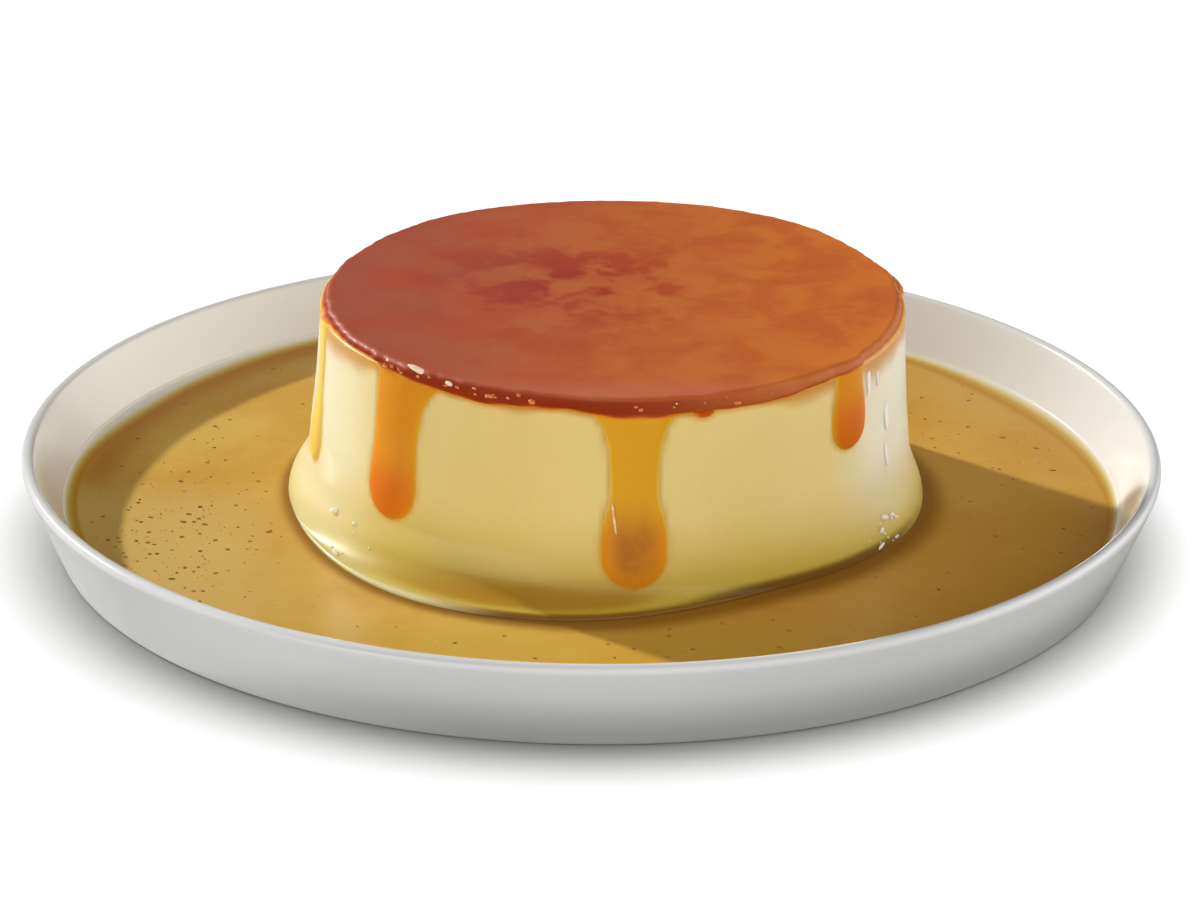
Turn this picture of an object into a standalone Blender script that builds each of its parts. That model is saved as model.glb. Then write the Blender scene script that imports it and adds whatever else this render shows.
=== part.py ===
"""A creme caramel turned out on its plate.

The custard is a low truncated cone that widens into a soft foot where it stands in the syrup; in front on
the left the foot runs out into a thin lip. A thin caramel cap covers its top, laps over the rim and sends
runs down the wall. The syrup is a shallow pool held by the plate, cut round the custard. The plate is a
round dish with a low flared wall.

Units are metres with +Z up. The origin is the middle of the plate's underside. Angles round the custard
are counted from its front (-Y) towards its right (+X).
"""

import math
from collections import namedtuple

import bmesh
import bpy

MM = 0.001
STEPS = 72          # facets round every turned shape
GAP = 0.3 * MM      # clearance kept between pieces that touch

# Plate: a round dish of glazed porcelain
PLATE_RADIUS = 80.0 * MM
PLATE_HEIGHT = 13.0 * MM
PLATE_FOOT_RADIUS = 75.4 * MM
PLATE_FOOT_WIDTH = 4.6 * MM
PLATE_RECESS = 0.8 * MM
PLATE_FLOOR_Z = 3.4 * MM
PLATE_LIP = 1.9 * MM
PLATE_EDGE_ROUND = 0.8 * MM
PLATE_FILLET = 3.0 * MM
PLATE_FILLET_RADIUS = 71.54 * MM    # where the flat floor starts to turn up
PLATE_WALL_TILT = math.radians(28.8)
PLATE_OUTER_TILT = math.radians(22.2)

# Custard: its wall leans in towards the top and swells into a foot below
FLAN_OFFSET_X = 2.6 * MM
CUSTARD_TOP_Z = 33.0 * MM
CUSTARD_TOP_RADIUS = 40.2 * MM
CUSTARD_SHOULDER = 0.6 * MM
CREASE_Z = 11.0 * MM
CREASE_RADIUS = 42.5 * MM
FOOT_Z = 5.3 * MM
FOOT_SWELL = 2.4 * MM
FOOT_LEAN = 0.45 * MM       # the foot spreads more on the left
FOOT_UNDERCUT = 1.2 * MM
FOOT_TUCK = 1.7 * MM        # and least in front on the right
FOOT_TUCK_TURN = 15.0       # degrees
FOOT_TUCK_SPREAD = 60.0
LIP_REACH = 5.4 * MM
LIP_TOP_Z = 8.5 * MM
LIP_EDGE_Z = 5.8 * MM
LIP_START = -80.0           # degrees: the lip grows from here to LIP_FULL
LIP_FULL = -20.0
LIP_FADE = -12.0            # and dies away from here to LIP_END
LIP_END = 34.0
FOOT_ROWS = (5.3, 5.8, 5.9, 6.1, 6.5, 7.1, 8.0, 9.2, 10.1)    # heights in millimetres
WALL_WAVE = 0.12 * MM

# Syrup
SYRUP_Z = 5.0 * MM

# Caramel cap, its apron over the rim, and its runs
CAP_TOP_Z = 34.6 * MM
CAP_EDGE_ROUND = 1.0 * MM
APRON_THICKNESS = 0.45 * MM
APRON_SHORTEST = 0.15 * MM
APRON_FRONT = 1.0 * MM
APRON_BACK = 0.7 * MM
APRON_WAVE = 0.18 * MM
RUN_GAP = 0.35 * MM         # a hair more than GAP, so that run and apron never share a face
RUN_SIDE_POINTS = 5
RUN_STATIONS = 13
NECK_RISE = 8.0 * MM
FLARE_DEPTH = 2.6 * MM

# angle and lean in degrees, the rest in millimetres; flare, neck and bulb are half widths
Run = namedtuple("Run", "angle lean flare neck bulb bulb_z tip_z thickness")
RUNS = (
    Run(-76.5, 0.0, 2.0, 1.6, 2.9, 16.5, 12.8, 0.7),
    Run(-45.0, 4.0, 6.4, 4.0, 4.4, 16.5, 12.2, 1.3),
    Run(4.2, 0.0, 6.6, 3.1, 4.4, 14.0, 7.9, 1.4),
    Run(16.6, 0.0, 2.2, 1.6, 1.6, 32.4, 31.2, 1.0),
    Run(50.2, 0.0, 3.0, 2.1, 3.4, 26.0, 21.8, 1.4),
    Run(104.0, -2.0, 5.0, 2.6, 3.3, 21.0, 17.0, 1.2),
    Run(158.0, 3.0, 6.0, 3.2, 4.2, 14.5, 9.6, 1.4),
    Run(-122.0, -3.0, 4.6, 2.4, 3.2, 24.5, 20.4, 1.2),
)


def clear_scene():
    for thing in list(bpy.data.objects):
        bpy.data.objects.remove(thing, do_unlink=True)


def new_collection(name):
    group = bpy.data.collections.new(name)
    bpy.context.scene.collection.children.link(group)
    return group


def new_material(name, colour, roughness, transmission=0.0):
    material = bpy.data.materials.new(name)
    material.use_nodes = True
    shader = material.node_tree.nodes["Principled BSDF"]
    shader.inputs["Base Color"].default_value = (*colour, 1.0)
    shader.inputs["Roughness"].default_value = roughness
    shader.inputs["Metallic"].default_value = 0.0
    shader.inputs["Transmission Weight"].default_value = transmission
    material.diffuse_color = (*colour, 1.0)
    return material


def new_object(name, mesh, group, material=None):
    thing = bpy.data.objects.new(name, mesh)
    group.objects.link(thing)
    if material:
        mesh.materials.append(material)
    return thing


def shade_round(mesh):
    mesh.shade_smooth()
    mesh.set_sharp_from_angle(angle=math.radians(35))


def smooth(value):
    """0 below 0, 1 above 1, and an S-curve between."""
    value = min(max(value, 0.0), 1.0)
    return value * value * (3.0 - 2.0 * value)


def arc(centre, radius, start, end, count):
    """Points on an arc, from angle start to angle end in degrees, both ends included."""
    points = []
    for i in range(count):
        angle = math.radians(start + (end - start) * i / (count - 1))
        points.append((centre[0] + radius * math.cos(angle), centre[1] + radius * math.sin(angle)))
    return points


def turned(name, profile, group, material):
    """A round solid from a profile of (radius, height) that runs from its top down its outer side."""
    mesh = bpy.data.meshes.new(name)
    edges = [(i, i + 1) for i in range(len(profile) - 1)]
    mesh.from_pydata([(r, 0.0, z) for r, z in profile], edges, [])
    thing = new_object(name, mesh, group, material)
    screw = thing.modifiers.new("Screw", "SCREW")
    screw.steps = STEPS
    screw.render_steps = STEPS
    screw.use_merge_vertices = True
    screw.merge_threshold = 0.00001
    screw.use_smooth_shade = True
    return thing


def uneven_round(name, profile_at, group, material):
    """A round solid whose profile changes with the angle: it runs from the bottom's middle to the top's."""
    bm = bmesh.new()
    rings = []
    for j in range(STEPS):
        angle = 2.0 * math.pi * j / STEPS
        profile = profile_at(angle)
        inner = profile[1:-1]
        rings.append([bm.verts.new((r * math.sin(angle), -r * math.cos(angle), z)) for r, z in inner])
    bottom = bm.verts.new((0.0, 0.0, profile[0][1]))
    top = bm.verts.new((0.0, 0.0, profile[-1][1]))
    for j in range(STEPS):
        here = rings[j]
        after = rings[(j + 1) % STEPS]
        bm.faces.new((bottom, after[0], here[0]))
        for i in range(len(here) - 1):
            bm.faces.new((here[i], after[i], after[i + 1], here[i + 1]))
        bm.faces.new((here[-1], after[-1], top))
    mesh = bpy.data.meshes.new(name)
    bm.to_mesh(mesh)
    bm.free()
    shade_round(mesh)
    return new_object(name, mesh, group, material)


def loft(name, sections, group, material):
    """A closed solid through sections that all have the same number of points."""
    bm = bmesh.new()
    loops = [[bm.verts.new(point) for point in section] for section in sections]
    count = len(sections[0])
    for upper, lower in zip(loops, loops[1:]):
        for i in range(count):
            k = (i + 1) % count
            bm.faces.new((upper[i], upper[k], lower[k], lower[i]))
    bm.faces.new(loops[0])
    bm.faces.new(loops[-1])
    bmesh.ops.recalc_face_normals(bm, faces=bm.faces)
    mesh = bpy.data.meshes.new(name)
    bm.to_mesh(mesh)
    bm.free()
    return new_object(name, mesh, group, material)


def wall_wave(angle):
    """How far the custard's wall stands out of round."""
    return WALL_WAVE * (math.sin(3.0 * angle + 0.7) + 0.6 * math.sin(5.0 * angle + 2.0))


def foot_swell(angle):
    """How far the foot spreads beyond the crease, without its lip."""
    turn = math.degrees(math.remainder(angle, 2.0 * math.pi))
    tuck = math.cos(0.5 * math.pi * min(abs(turn - FOOT_TUCK_TURN) / FOOT_TUCK_SPREAD, 1.0)) ** 2
    return FOOT_SWELL - FOOT_LEAN * math.sin(angle) - FOOT_TUCK * tuck


def lip_reach(angle, z):
    """How far the lip stands out of the foot at an angle and a height."""
    turn = math.degrees(math.remainder(angle, 2.0 * math.pi))
    reach = LIP_REACH * smooth((turn - LIP_START) / (LIP_FULL - LIP_START))
    reach *= 1.0 - smooth((turn - LIP_FADE) / (LIP_END - LIP_FADE))
    drop = min(max((LIP_TOP_Z - z) / (LIP_TOP_Z - LIP_EDGE_Z), 0.0), 1.0)
    return reach * (1.0 - math.sqrt(1.0 - drop * drop))


def wall_radius(angle, z):
    """Radius of the custard's wall at an angle and a height, above its widest line."""
    if z >= CREASE_Z:
        rise = (z - CREASE_Z) / (CUSTARD_TOP_Z - CREASE_Z)
        radius = CREASE_RADIUS + (CUSTARD_TOP_RADIUS - CREASE_RADIUS) * rise
    else:
        drop = min((CREASE_Z - z) / (CREASE_Z - FOOT_Z), 1.0)
        radius = CREASE_RADIUS + foot_swell(angle) * math.sin(0.5 * math.pi * drop)
    return radius + lip_reach(angle, z) + wall_wave(angle)


def custard_profile(angle, grow=0.0):
    """The custard's profile at an angle; grow moves its wall outwards, for the pool that it stands in."""
    bottom = PLATE_FLOOR_Z + GAP - grow
    widest = wall_radius(angle, FOOT_Z) + grow
    points = [(0.0, bottom), (widest - FOOT_UNDERCUT, bottom)]
    for i in (1, 2):
        turn = math.radians(30.0 * i)
        height = bottom + (FOOT_Z - bottom) * math.sin(turn)
        points.append((widest - FOOT_UNDERCUT * (1.0 - math.sin(turn)), height))
    for height in FOOT_ROWS:
        points.append((wall_radius(angle, height * MM) + grow, height * MM))
    wall_rows = 5
    wall_end = CUSTARD_TOP_Z - CUSTARD_SHOULDER
    for i in range(wall_rows):
        z = CREASE_Z + (wall_end - CREASE_Z) * i / wall_rows
        points.append((wall_radius(angle, z) + grow, z))
    shoulder = (wall_radius(angle, wall_end) - CUSTARD_SHOULDER + grow, wall_end)
    points += arc(shoulder, CUSTARD_SHOULDER, 0.0, 90.0, 4)
    points.append((0.0, CUSTARD_TOP_Z))
    return points


def make_plate(group):
    material = new_material("plate_porcelain", (0.78, 0.76, 0.72), 0.12)
    lip = PLATE_LIP / 2.0
    lip_centre = (PLATE_RADIUS - lip, PLATE_HEIGHT - lip)
    outer = math.degrees(PLATE_OUTER_TILT)
    inner = math.degrees(PLATE_WALL_TILT)
    fillet_centre = (PLATE_FILLET_RADIUS, PLATE_FLOOR_Z + PLATE_FILLET)
    foot_centre = (PLATE_FOOT_RADIUS - PLATE_EDGE_ROUND, PLATE_EDGE_ROUND)
    foot_inside = PLATE_FOOT_RADIUS - PLATE_FOOT_WIDTH
    profile = [(0.0, PLATE_FLOOR_Z)]
    profile += arc(fillet_centre, PLATE_FILLET, -90.0, -inner, 6)
    profile += arc(lip_centre, lip, 180.0 - inner, -outer, 9)
    profile += arc(foot_centre, PLATE_EDGE_ROUND, -outer, -90.0, 4)
    profile += [(foot_inside, 0.0), (foot_inside - PLATE_RECESS, PLATE_RECESS), (0.0, PLATE_RECESS)]
    return turned("plate", profile, group, material)


def make_custard(group, parent):
    material = new_material("custard_cream", (0.80, 0.66, 0.36), 0.35)
    custard = uneven_round("custard", custard_profile, group, material)
    custard.parent = parent
    return custard


def make_syrup(group, cutters, parent):
    material = new_material("caramel_syrup", (0.50, 0.27, 0.05), 0.1, transmission=0.3)
    fillet_centre = (PLATE_FILLET_RADIUS, PLATE_FLOOR_Z + PLATE_FILLET)
    radius = PLATE_FILLET - GAP
    surface = math.degrees(math.asin((SYRUP_Z - fillet_centre[1]) / radius))
    profile = [(0.0, SYRUP_Z)]
    profile += arc(fillet_centre, radius, surface, -90.0, 4)
    profile += [(0.0, PLATE_FLOOR_Z + GAP)]
    syrup = turned("syrup", profile, group, material)
    cutter = uneven_round("syrup_cutter", lambda angle: custard_profile(angle, 2.0 * GAP), cutters, None)
    cutter.parent = parent
    cutter.hide_render = True
    cutter.display_type = "WIRE"
    cut = syrup.modifiers.new("Custard", "BOOLEAN")
    cut.operation = "DIFFERENCE"
    cut.object = cutter
    return syrup


def apron_bottom(angle):
    """Height of the apron's wavy lower edge: low in front and at the back, almost nothing at the sides."""
    turn = abs(math.degrees(math.remainder(angle, 2.0 * math.pi)))
    front = APRON_FRONT * (1.0 - smooth((turn - 28.0) / 30.0))
    back = APRON_BACK * smooth((turn - 100.0) / 30.0)
    wave = APRON_WAVE * (math.sin(9.0 * angle) + math.sin(14.0 * angle + 1.0))
    drop = front + back
    drop += wave * drop / APRON_FRONT
    return CUSTARD_TOP_Z + APRON_SHORTEST - drop


def cap_profile(angle):
    """The cap and its apron at an angle: an L-shaped section with a rounded upper edge."""
    underside = CUSTARD_TOP_Z + GAP
    low = apron_bottom(angle)
    inside_low = wall_radius(angle, low) + GAP
    inside_high = wall_radius(angle, underside) + GAP
    outside = inside_high + APRON_THICKNESS
    edge = (outside - CAP_EDGE_ROUND, CAP_TOP_Z - CAP_EDGE_ROUND)
    points = [(0.0, underside), (inside_high, underside)]
    points += [(inside_low, low), (inside_low + 0.6 * APRON_THICKNESS, low)]
    points += [(inside_low + APRON_THICKNESS, low + APRON_SHORTEST)]
    points += arc(edge, CAP_EDGE_ROUND, 0.0, 90.0, 6)
    points.append((0.0, CAP_TOP_Z))
    return points


def run_section(run, z, inner_radius=None):
    """One section of a run: a flat side against the wall and a domed outer side."""
    depth = CUSTARD_TOP_Z - z
    neck_z = run.bulb_z * MM + NECK_RISE
    tip_z = run.tip_z * MM
    flare = (run.flare - run.neck) * math.exp(-max(depth, 0.0) / FLARE_DEPTH)
    swell = smooth((neck_z - z) / NECK_RISE)
    half_width = (run.neck + flare + (run.bulb - run.neck) * swell) * MM
    closing = min((z - tip_z) / (1.15 * half_width), 1.0)
    close = math.sqrt(1.0 - (1.0 - closing) ** 2)
    half_width *= close
    thickness = run.thickness * MM * (0.55 + 0.45 * swell) * close
    lean = run.lean * math.exp(-max(depth, 0.0) / FLARE_DEPTH)
    middle = math.radians(run.angle + lean)
    outer = []
    inner = []
    for i in range(RUN_SIDE_POINTS + 2):
        across = 2.0 * i / (RUN_SIDE_POINTS + 1) - 1.0
        angle = middle + across * half_width / wall_radius(middle, z)
        base = wall_radius(angle, z) + RUN_GAP
        dome = thickness * math.sqrt(max(1.0 - across * across, 0.0))
        outer.append((base + dome, angle))
        if 0 < i <= RUN_SIDE_POINTS:
            inner.append((inner_radius or base, angle))
    points = outer + inner[::-1]
    return [(r * math.sin(angle), -r * math.cos(angle), z) for r, angle in points]


def run_sections(run):
    """A run's sections, from inside the cap over the rim and down to its tip."""
    inside_cap = CUSTARD_TOP_RADIUS - 1.4 * MM
    over_rim = CUSTARD_TOP_Z + GAP
    sections = [run_section(run, over_rim + 0.75 * MM, inside_cap)]
    sections.append(run_section(run, over_rim + 0.15 * MM, inside_cap))
    tip = (run.tip_z + 0.05) * MM
    start = over_rim - 0.04 * MM
    for i in range(RUN_STATIONS):
        z = start + (tip - start) * math.sin(0.5 * math.pi * i / (RUN_STATIONS - 1))
        sections.append(run_section(run, z))
    return sections


def make_caramel(group, parent):
    material = new_material("caramel_layer", (0.42, 0.09, 0.02), 0.15, transmission=0.2)
    cap = uneven_round("caramel_layer", cap_profile, group, material)
    cap.parent = parent
    runs = new_collection("caramel_runs")
    for number, run in enumerate(RUNS):
        piece = loft(f"run_{number}", run_sections(run), runs, material)
        piece.parent = parent
    join = cap.modifiers.new("Runs", "BOOLEAN")
    join.operation = "UNION"
    join.operand_type = "COLLECTION"
    join.collection = runs
    bpy.context.view_layer.update()
    evaluated = cap.evaluated_get(bpy.context.evaluated_depsgraph_get())
    joined = bpy.data.meshes.new_from_object(evaluated)
    cap.modifiers.remove(join)
    for piece in list(runs.objects):
        bpy.data.objects.remove(piece, do_unlink=True)
    bpy.data.collections.remove(runs)
    cap.data = joined
    shade_round(joined)
    return cap


def main():
    clear_scene()
    group = new_collection("creme_caramel")
    cutters = new_collection("cutters")
    flan_axis = bpy.data.objects.new("flan_axis", None)
    flan_axis.location = (FLAN_OFFSET_X, 0.0, 0.0)
    group.objects.link(flan_axis)
    make_plate(group)
    make_custard(group, flan_axis)
    make_syrup(group, cutters, flan_axis)
    make_caramel(group, flan_axis)


main()
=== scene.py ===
# %% [markdown]
# # A creme caramel on its plate
# A creme caramel is baked upside down: melted caramel goes into the mould first, custard on top of it.
# Turned out, the caramel is the lid. The part of it that stayed thin soaks the custard's top and runs down
# the sides, and the rest becomes the pool of syrup in the plate. We dress four measured solids here: plate,
# custard, caramel layer and syrup. The solids give every size, and this script gives the finish.

# %% Load the measured solids
import math

import bmesh
import bpy
import numpy as np
from mathutils import Matrix, Vector, noise


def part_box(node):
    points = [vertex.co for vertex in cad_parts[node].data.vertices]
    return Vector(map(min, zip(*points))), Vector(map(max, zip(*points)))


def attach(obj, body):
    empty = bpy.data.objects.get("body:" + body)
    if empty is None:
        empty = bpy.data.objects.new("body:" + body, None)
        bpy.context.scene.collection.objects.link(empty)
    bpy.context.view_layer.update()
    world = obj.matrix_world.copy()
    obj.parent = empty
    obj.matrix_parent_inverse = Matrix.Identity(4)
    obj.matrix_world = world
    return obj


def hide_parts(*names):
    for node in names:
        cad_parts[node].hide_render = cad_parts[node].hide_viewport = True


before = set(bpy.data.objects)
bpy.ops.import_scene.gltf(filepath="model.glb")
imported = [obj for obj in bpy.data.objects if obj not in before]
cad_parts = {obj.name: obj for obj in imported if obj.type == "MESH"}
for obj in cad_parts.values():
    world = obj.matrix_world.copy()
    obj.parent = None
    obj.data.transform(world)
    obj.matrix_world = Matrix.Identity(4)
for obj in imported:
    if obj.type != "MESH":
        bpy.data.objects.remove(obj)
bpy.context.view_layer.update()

MM = 0.001

# %% [markdown]
# ## Sizes that the solids share
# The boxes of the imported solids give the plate's radius and height, the syrup's level and the height of the
# caramel's top. The few sizes that a box can't tell, such as the radius where the custard's foot begins,
# are the same named values that the solids were made from.

# %% Sizes
PLATE_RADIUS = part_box("plate")[1].x
SYRUP_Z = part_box("syrup")[1].z
CUSTARD_TOP_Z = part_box("custard")[1].z
CAP_TOP_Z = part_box("caramel_layer")[1].z
PLATE_HEIGHT = 13.0 * MM
PLATE_FLOOR_Z = 3.4 * MM
FLAN_X = 2.6 * MM     # the custard stands this far to the right of the plate's middle
print("plate radius", round(PLATE_RADIUS / MM, 2), "syrup level", round(SYRUP_Z / MM, 2),
      "caramel top", round(CAP_TOP_Z / MM, 2))

# %% [markdown]
# ## Camera
# A food photograph like this is taken with a long lens from a little more than half a metre away, looking
# down by about twenty degrees. The long lens keeps the plate's ellipse even. Blender's camera looks along
# its own -Z. Read from right to left, the matrices roll it about that axis, tilt it up from straight down,
# turn it a hair to the right and carry it to its place.

# %% Camera
LENS_MM = 128.6
SENSOR_MM = 36.0
CLIP_RANGE = (0.01, 20.0)
CAMERA_PLACE = Vector((0.0, -0.5651, 0.2319))
LOOK_DOWN = math.radians(21.38)
TURN_RIGHT = math.radians(0.12)
ROLL = math.radians(0.65)

camera_data = bpy.data.cameras.new("camera")
camera_data.lens = LENS_MM
camera_data.sensor_width = SENSOR_MM
camera_data.clip_start, camera_data.clip_end = CLIP_RANGE
camera = bpy.data.objects.new("camera", camera_data)
bpy.context.scene.collection.objects.link(camera)
aim = Matrix.Rotation(-TURN_RIGHT, 4, "Z") @ Matrix.Rotation(math.pi / 2 - LOOK_DOWN, 4, "X")
camera.matrix_world = Matrix.Translation(CAMERA_PLACE) @ aim @ Matrix.Rotation(ROLL, 4, "Z")
bpy.context.scene.camera = camera
bpy.context.scene.view_settings.view_transform = "Standard"
print("camera", round(CAMERA_PLACE.length, 3), "m from the plate's middle")

# %% [markdown]
# ## Light
# The shadows tell where the lamps are. The plate's wall throws a sharp dark band on the syrup from the back
# left, so there is one small low lamp there. The custard's front is evenly bright although that lamp never
# reaches it, so a large soft reflector stands low in front, and two smaller ones lighten the sides.
# Behind, where the wet top would mirror it, the room is dark. A sky whose brightness depends only on
# direction does the soft part.

# %% Key lamp
KEY_ELEVATION = math.radians(24.0)
KEY_AZIMUTH = math.radians(140.0)     # counted from +X towards +Y: the lamp is behind, on the left
KEY_STRENGTH = 3.35
KEY_SPREAD = math.radians(2.2)
KEY_COLOUR = (1.0, 0.975, 0.94)


def direction(azimuth, elevation):
    """The unit vector that points at this azimuth and elevation."""
    return Vector((math.cos(azimuth) * math.cos(elevation), math.sin(azimuth) * math.cos(elevation),
                   math.sin(elevation)))


def add_sun(name, towards, strength, spread, colour):
    """A distant lamp that shines from this direction."""
    data = bpy.data.lights.new(name, "SUN")
    data.energy = strength
    data.angle = spread
    data.color = colour
    lamp = bpy.data.objects.new(name, data)
    bpy.context.scene.collection.objects.link(lamp)
    lamp.rotation_euler = towards.to_track_quat("Z", "Y").to_euler()
    return lamp


key = add_sun("key", direction(KEY_AZIMUTH, KEY_ELEVATION), KEY_STRENGTH, KEY_SPREAD, KEY_COLOUR)
print("key lamp strength", KEY_STRENGTH)

# %% Soft sky
WHITE = (1.0, 1.0, 1.0)
UP = Vector((0.0, 0.0, 1.0))
FRONT = direction(math.radians(-80.0), math.radians(3.0))
RIGHT = direction(math.radians(14.0), math.radians(6.0))
LEFT = direction(math.radians(216.0), math.radians(0.0))

# where a mix node has its colour sockets
MIX_FACTOR, MIX_FIRST, MIX_SECOND, MIX_RESULT = 0, 6, 7, 2

# direction, tint, and stops of closeness to that direction and brightness
SKY = (
    (UP, (1.0, 0.88, 0.82), ((0.0, 0.05), (0.30, 0.06), (0.60, 0.08), (1.0, 0.12))),
    (FRONT, (1.0, 0.97, 0.93), ((0.0, 0.0), (0.46, 0.0), (0.78, 0.9), (1.0, 1.45))),
    (RIGHT, WHITE, ((0.0, 0.0), (0.62, 0.0), (0.85, 1.4), (1.0, 2.4))),
    (LEFT, WHITE, ((0.0, 0.0), (0.76, 0.0), (0.93, 1.5), (1.0, 2.5))),
)


def fill_ramp(node, stops):
    """Gives a colour ramp its stops, each a position and a linear colour."""
    elements = node.color_ramp.elements
    while len(elements) < len(stops):
        elements.new(0.5)
    for element, (position, colour) in zip(elements, stops):
        element.position = position
        element.color = colour


def make_sky(patches):
    """A world that is a sum of soft patches of light."""
    world = bpy.data.worlds.new("soft_sky")
    bpy.context.scene.world = world
    world.use_nodes = True
    nodes = world.node_tree.nodes
    links = world.node_tree.links
    place = nodes.new("ShaderNodeTexCoord")
    total = None
    for towards, tint, stops in patches:
        near = nodes.new("ShaderNodeVectorMath")
        near.operation = "DOT_PRODUCT"
        near.inputs[1].default_value = towards
        links.new(place.outputs["Generated"], near.inputs[0])
        ramp = nodes.new("ShaderNodeValToRGB")
        fill_ramp(ramp, [(at, (*(bright * part for part in tint), 1.0)) for at, bright in stops])
        links.new(near.outputs["Value"], ramp.inputs["Fac"])
        if total is None:
            total = ramp.outputs["Color"]
            continue
        both = nodes.new("ShaderNodeMix")
        both.data_type = "RGBA"
        both.blend_type = "ADD"
        both.inputs[MIX_FACTOR].default_value = 1.0
        links.new(total, both.inputs[MIX_FIRST])
        links.new(ramp.outputs["Color"], both.inputs[MIX_SECOND])
        total = both.outputs[MIX_RESULT]
    links.new(total, nodes["Background"].inputs["Color"])


make_sky(SKY)
print("sky patches:", len(SKY))

# %% [markdown]
# ## Floor
# The floor is stage, not part of the dessert. On a product photograph it vanishes into white, with only a
# soft shadow under the plate, and yet the plate's outside is grey, which one white floor can't give. So
# there are two sheets. The upper one is what the camera sees: it has a soft lamp of its own above it and
# lights nothing. The lower one is unseen. It takes the key lamp's light and throws it back on the plate.

# %% Shared material helpers
def linear(*colour):
    """A colour picked on screen, 0 to 255, as the linear numbers that a shader wants."""
    out = []
    for value in colour:
        value /= 255.0
        out.append(value / 12.92 if value <= 0.04045 else ((value + 0.055) / 1.055) ** 2.4)
    return (*out, 1.0)


class Look:
    """A material's node tree with short ways to add and join nodes; colours are 0 to 255."""

    def __init__(self, name, roughness, specular=0.5):
        self.material = bpy.data.materials.new(name)
        self.material.use_nodes = True
        self.nodes = self.material.node_tree.nodes
        self.links = self.material.node_tree.links
        self.shader = self.nodes["Principled BSDF"]
        self.set("Roughness", roughness)
        self.set("Specular IOR Level", specular)

    def set(self, title, value):
        """Gives one of the shader's own sockets a plain value."""
        self.shader.inputs[title].default_value = value

    def node(self, kind, **settings):
        made = self.nodes.new(kind)
        for key_name, value in settings.items():
            setattr(made, key_name, value)
        return made

    def feed(self, socket, value):
        """Joins a socket to another one, or gives it a plain value."""
        if isinstance(value, bpy.types.NodeSocket):
            self.links.new(value, socket)
        else:
            socket.default_value = value

    def place(self):
        """The place on the object, in metres."""
        return self.node("ShaderNodeTexCoord").outputs["Object"]

    def along(self, axis):
        """The X, Y or Z place on the object, in metres."""
        split = self.node("ShaderNodeSeparateXYZ")
        self.feed(split.inputs["Vector"], self.place())
        return split.outputs[axis]

    def stored(self, name):
        """A value that the mesh carries."""
        return self.node("ShaderNodeAttribute", attribute_name=name).outputs["Fac"]

    def noise(self, scale, detail=3.0, rough=0.5, distortion=0.0, stretch=(1.0, 1.0, 1.0)):
        """A noise value between about 0.3 and 0.7; scale is per metre."""
        mapping = self.node("ShaderNodeMapping")
        cloud = self.node("ShaderNodeTexNoise")
        self.feed(mapping.inputs["Scale"], stretch)
        self.feed(mapping.inputs["Vector"], self.place())
        self.feed(cloud.inputs["Vector"], mapping.outputs["Vector"])
        settings = {"Scale": scale, "Detail": detail, "Roughness": rough, "Distortion": distortion}
        for title, value in settings.items():
            self.feed(cloud.inputs[title], value)
        return cloud.outputs["Fac"]

    def spread(self, value, low, high, out_low=0.0, out_high=1.0):
        """Maps low..high to out_low..out_high with soft ends."""
        ranged = self.node("ShaderNodeMapRange", interpolation_type="SMOOTHSTEP")
        settings = {"Value": value, "From Min": low, "From Max": high,
                    "To Min": out_low, "To Max": out_high}
        for title, given in settings.items():
            self.feed(ranged.inputs[title], given)
        return ranged.outputs["Result"]

    def ramp(self, value, stops):
        """A colour ramp; each stop is a position and a colour."""
        ramp = self.node("ShaderNodeValToRGB")
        fill_ramp(ramp, [(position, linear(*colour)) for position, colour in stops])
        self.feed(ramp.inputs["Fac"], value)
        return ramp.outputs["Color"]

    def clouded(self, cloud, dark, light, low=0.3, high=0.7):
        """A noise value turned into a soft change between two colours."""
        return self.ramp(cloud, ((low, dark), (high, light)))

    def mix(self, factor, first, second):
        """Mixes two colours, each a socket or a colour, by a factor."""
        mixed = self.node("ShaderNodeMix", data_type="RGBA")
        self.feed(mixed.inputs[MIX_FACTOR], factor)
        for index, colour in ((MIX_FIRST, first), (MIX_SECOND, second)):
            self.feed(mixed.inputs[index], linear(*colour) if isinstance(colour, tuple) else colour)
        return mixed.outputs[MIX_RESULT]

    def math(self, operation, first, second):
        made = self.node("ShaderNodeMath", operation=operation)
        self.feed(made.inputs[0], first)
        self.feed(made.inputs[1], second)
        return made.outputs[0]

    def times(self, first, second):
        return self.math("MULTIPLY", first, second)

    def colour(self, socket):
        self.feed(self.shader.inputs["Base Color"], socket)

    def bump(self, value, distance, strength):
        """Fine relief that is too small to model; distance is its height in metres."""
        bump = self.node("ShaderNodeBump")
        for title, given in {"Strength": strength, "Distance": distance, "Height": value}.items():
            self.feed(bump.inputs[title], given)
        self.feed(self.shader.inputs["Normal"], bump.outputs["Normal"])

    def soft(self, weight, radius):
        """Light that enters, scatters and comes out nearby; radius is in metres for red, green and blue."""
        self.set("Subsurface Weight", weight)
        self.set("Subsurface Radius", radius)
        self.set("Subsurface Scale", 1.0)

    def coat(self, weight, roughness):
        """A clear wet film on top."""
        self.set("Coat Weight", weight)
        self.set("Coat Roughness", roughness)


grey = linear(179, 179, 179)
print("a screen grey of 179 is", round(grey[0], 3), "in linear light")

# %% Floor
FLOOR_HALF = 3.0
FLOOR_LAMP = 6.75
FLOOR_LAMP_SPREAD = math.radians(78.0)
FLOOR_LAMP_FROM = Vector((0.0, 0.26, 1.0))
FLOOR_Z = -0.05 * MM
BOUNCE_Z = -0.1 * MM


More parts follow.
